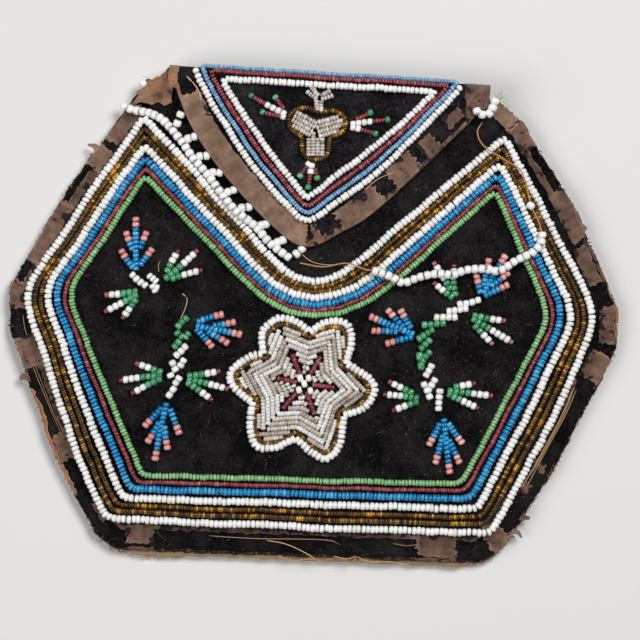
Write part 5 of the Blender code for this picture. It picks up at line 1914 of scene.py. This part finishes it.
# Stray threads that lie on the cloth, each by its places and how thick it is
STRAW_LINES = (
    (((-0.0750, -0.0136), (-0.0722, -0.0200), (-0.0688, -0.0272), (-0.0651, -0.0348)), 0.00011),
    (((-0.0741, -0.0140), (-0.0712, -0.0206), (-0.0680, -0.0280), (-0.0641, -0.0344)), 0.00011),
    (((-0.0774, -0.0014), (-0.0768, -0.0050), (-0.0755, -0.0085)), 0.00010),
    (((0.0729, -0.0160), (0.0700, -0.0235), (0.0650, -0.0335), (0.0595, -0.0450)), 0.00020),
    (((0.0719, -0.0158), (0.0690, -0.0236), (0.0640, -0.0338), (0.0584, -0.0447)), 0.00022),
    (((0.0724, -0.0150), (0.0697, -0.0230), (0.0654, -0.0318), (0.0612, -0.0400)), 0.00018),
    (((-0.0249, -0.0593), (-0.0120, -0.0596), (0.0066, -0.0592), (0.0110, -0.0606)), 0.00010),
    (((0.0249, -0.0595), (0.0290, -0.0600), (0.0327, -0.0592)), 0.00010),
    ((
        (-0.0092, -0.0600), (-0.0040, -0.0608), (0.0010, -0.0628), (0.0046, -0.0650), (0.0022, -0.0653),
    ), 0.00013),
    (((-0.0060, -0.0640), (-0.0020, -0.0652), (0.0030, -0.0646), (0.0075, -0.0655)), 0.00012),
    ((
        (0.0090, -0.0636), (0.0128, -0.0642), (0.0152, -0.0634), (0.0140, -0.0652), (0.0118, -0.0648),
    ), 0.00020),
    (((0.0152, -0.0634), (0.0190, -0.0648), (0.0240, -0.0645), (0.0300, -0.0652)), 0.00012),
    (((-0.0406, 0.0143), (-0.0410, 0.0130), (-0.0408, 0.0113)), 0.00016),
    (((-0.0344, 0.0059), (-0.0330, 0.0045), (-0.0333, 0.0020), (-0.0346, -0.0013)), 0.00014),
    (((-0.0031, 0.0179), (0.0004, 0.0156), (0.0050, 0.0150), (0.0091, 0.0158)), 0.00012),
    (((0.0123, 0.0153), (0.0140, 0.0146), (0.0160, 0.0138)), 0.00012),
)
FLAP_LINES = (
    (((0.0134, 0.0352), (0.0170, 0.0384), (0.0216, 0.0406)), 0.00012),
    (((-0.0353, 0.0640), (-0.0334, 0.0622), (-0.0318, 0.0600), (-0.0310, 0.0572)), 0.00022),
)


THREAD_POINTS = 14
THREAD_LIFT = 0.0004
LINT_LIFT = 0.00015


def on_cloth(points, surface):
    return [on_surface(p, surface, THREAD_LIFT) for p in smooth_curve(points, THREAD_POINTS)]


def stray_threads():
    chance = random.Random("threads")
    lines = [(on_cloth(points, face), radius) for points, radius in STRAW_LINES]
    lines += [(on_cloth(points, flap_top), radius) for points, radius in FLAP_LINES]
    fibres_piece("straw_threads", lines, "straw_thread", "linen", chance)


def hair(chance, x, y, surface, length, radius):
    """One short curved fibre lying on a surface."""
    turn, bend = chance.uniform(0, math.tau), chance.gauss(0.0, 0.9)
    places, spot = [], Vector((x, y))
    for _ in range(6):
        rise = LINT_LIFT + abs(chance.gauss(0.0, 0.00008))
        places.append(on_surface(spot, surface, rise))
        spot = spot + heading(turn) * length / 5
        turn += bend / 5 + chance.gauss(0.0, 0.15)
    return places, radius


# How many fibres lie on the face and on the flap, and the box that the face's are spread over
FACE_LINT = 420
FLAP_LINT = 80
LINT_ACROSS = (-0.080, 0.082)
LINT_UP = (-0.063, 0.055)


def lint():
    """Short pale fibres caught in the pile."""
    chance = random.Random("lint")
    lines = []
    while len(lines) < FACE_LINT:
        x, y = chance.uniform(*LINT_ACROSS), chance.uniform(*LINT_UP)
        if inset(x, y) > 0.0005:
            lines.append(hair(chance, x, y, face, chance.uniform(0.0006, 0.0026), 0.000030))
    fibres_piece("lint", lines, "lint", "velvet", chance)
    lines = []
    left, right = flap_sides(0.0030)
    for _ in range(FLAP_LINT):
        index = chance.randrange(3, len(left) - 6)
        spot = mix(left[index], right[index], chance.random())
        lines.append(hair(chance, spot.x, spot.y, flap_top, chance.uniform(0.0006, 0.0022), 0.000026))
    fibres_piece("flap_lint", lines, "lint", "velvet", chance)


# Where along the edge the hem's linen is frayed and where its threads are longest, how many threads and
# hairs there are, and how far inside the edge each starts
FRAYED = (0.1400, 0.2480)
FRAYED_LONG = (0.1515, 0.1625)
HEM_THREADS = 620
EDGE_THREADS = 130
FUZZ_HAIRS = 900
FRINGE_ROOT = 0.0008


def fringe_line(walk, distance, chance, reach, height):
    """One thread or hair that stands out from the edge."""
    point, along = walk.at(distance)
    out = Vector((along.y, -along.x))
    swing = chance.gauss(0.0, 0.9)
    places, spot = [], point - out * FRINGE_ROOT
    for step in range(5):
        places.append(at_height(spot, height - 0.00012 * step * step))
        spot = spot + (out + along * swing).normalized() * (reach + FRINGE_ROOT) / 4
        swing += chance.gauss(0.0, 0.45)
    return places, chance.uniform(0.00005, 0.00013)


def edge_fringe(count, walk, chance, reaches, height):
    """Threads or hairs here and there along the whole edge."""
    lines = []
    for _ in range(count):
        distance = chance.uniform(0.0, EDGE_LENGTH)
        lines.append(fringe_line(walk, distance, chance, chance.uniform(*reaches), height))
    return lines


def frayed_hem():
    """Linen threads along the hem, a few round the whole edge, and dark fuzz all round."""
    chance = random.Random("fray")
    walk = Walk(EDGE)
    linen_height = RIM_FRONT - VELVET - GAP
    lines = []
    for _ in range(HEM_THREADS):
        distance = chance.uniform(*FRAYED)
        longer = 1.6 if FRAYED_LONG[0] < distance < FRAYED_LONG[1] else 1.0
        reach = chance.uniform(0.0008, 0.0022) * longer
        lines.append(fringe_line(walk, distance, chance, reach, linen_height))
    lines += edge_fringe(EDGE_THREADS, walk, chance, (0.0002, 0.0014), RIM_FRONT)
    fibres_piece("frayed_linen", lines, "straw_thread", "linen", chance)
    fuzz = edge_fringe(FUZZ_HAIRS, walk, chance, (0.0003, 0.0010), RIM_FRONT + 0.0001)
    fibres_piece("edge_fuzz", fuzz, "fuzz", "velvet", chance)


# Where the long hairs stand out, which way they lean and how many there are
SHOULDER_TUFTS = ((-0.0452, 0.0612, 2.7, 9), (0.0484, 0.0604, 0.9, 10), (-0.0500, 0.0545, 2.9, 4))


def shoulder_hairs():
    """Long loose hairs at the pouch's two upper corners."""
    chance = random.Random("hairs")
    lines = []
    for x, y, spread, count in SHOULDER_TUFTS:
        for _ in range(count):
            turn = spread + chance.gauss(0.0, 0.5)
            spot, height, places = Vector((x, y)), RIM_FRONT + 0.001, []
            for _ in range(7):
                places.append(at_height(spot, height))
                spot = spot + heading(turn) * chance.uniform(0.0004, 0.0009)
                turn += chance.gauss(0.0, 0.3)
                height = max(0.0006, height - chance.uniform(0.0, 0.0003))
            lines.append((places, 0.00004))
    fibres_piece("shoulder_hairs", lines, "hair", "linen", chance)


# Camera, light and floor

CAMERA_TURN = math.radians(2.2)
CAMERA_OVER = (0.00295, 0.00011)
CAMERA_HEIGHT = 0.7255
LENS = 150.0
SENSOR = 36.0
# Each lamp's place, size and power, and the world's strength as light and as it is seen
KEY = ((0.55, 0.62, 1.15), 0.55, 15.5)
FILL = ((-0.8, -0.3, 0.9), 0.9, 8.5)
WORLD_LIGHT = 0.44
WORLD_SEEN = 0.80
FLOOR_SIZE = 6.0
FLOOR_DROP = 0.0001


def camera():
    data = bpy.data.cameras.new("camera")
    data.lens = LENS
    data.sensor_width = SENSOR
    made = placed("camera", data)
    made.location = (*CAMERA_OVER, CAMERA_HEIGHT)
    made.rotation_euler = (0.0, 0.0, CAMERA_TURN)
    bpy.context.scene.camera = made


def lamp(name, place, size, power):
    data = bpy.data.lights.new(name, "AREA")
    data.size = size
    data.energy = power
    made = placed(name, data)
    made.location = place
    made.rotation_euler = (-Vector(place)).to_track_quat("-Z", "Y").to_euler()


def light():
    lamp("key", *KEY)
    lamp("fill", *FILL)
    world = bpy.data.worlds.new("studio")
    world.use_nodes = True
    tree = world.node_tree
    sky = tree.nodes["Background"]
    rays = tree.nodes.new("ShaderNodeLightPath").outputs
    mirrored = calculated(tree, "MAXIMUM", rays["Is Camera Ray"], rays["Is Glossy Ray"])
    seen = calculated(tree, "MAXIMUM", mirrored, rays["Is Transmission Ray"])
    strength = tree.nodes.new("ShaderNodeMapRange")
    put(tree, strength.inputs["To Min"], WORLD_LIGHT)
    put(tree, strength.inputs["To Max"], WORLD_SEEN)
    put(tree, strength.inputs["Value"], seen)
    tree.links.new(strength.outputs[0], sky.inputs["Strength"])
    bpy.context.scene.world = world
    bpy.context.scene.view_settings.view_transform = "Standard"


def floor():
    bpy.ops.object.select_all(action="DESELECT")
    bpy.ops.mesh.primitive_plane_add(size=FLOOR_SIZE, location=(0.0, 0.0, 0.0))
    plane = bpy.context.object
    plane.name = "floor"
    bpy.ops.transform.translate(value=(0.0, 0.0, -FLOOR_DROP))
    bpy.ops.object.transform_apply(location=True)
    made, _, _ = blank("floor", 0.9, (232, 231, 229), specular=0.1)
    plane.data.materials.append(made)


def main():
    camera()
    light()
    floor()
    back_layers()
    front_layers()
    flap_cloth()
    edge_ribbon()
    mouth_ribbon()
    flap_ribbon()
    torn_silk()
    face_rows()
    flap_rows()
    flower()
    sprays()
    stems()
    trefoil()
    rest = Rest(SEWN_BEADS)
    flap_edging(rest)
    corner_loop()
    loose_strand(rest)
    lone_beads(rest)
    stray_threads()
    lint()
    frayed_hem()
    shoulder_hairs()


main()
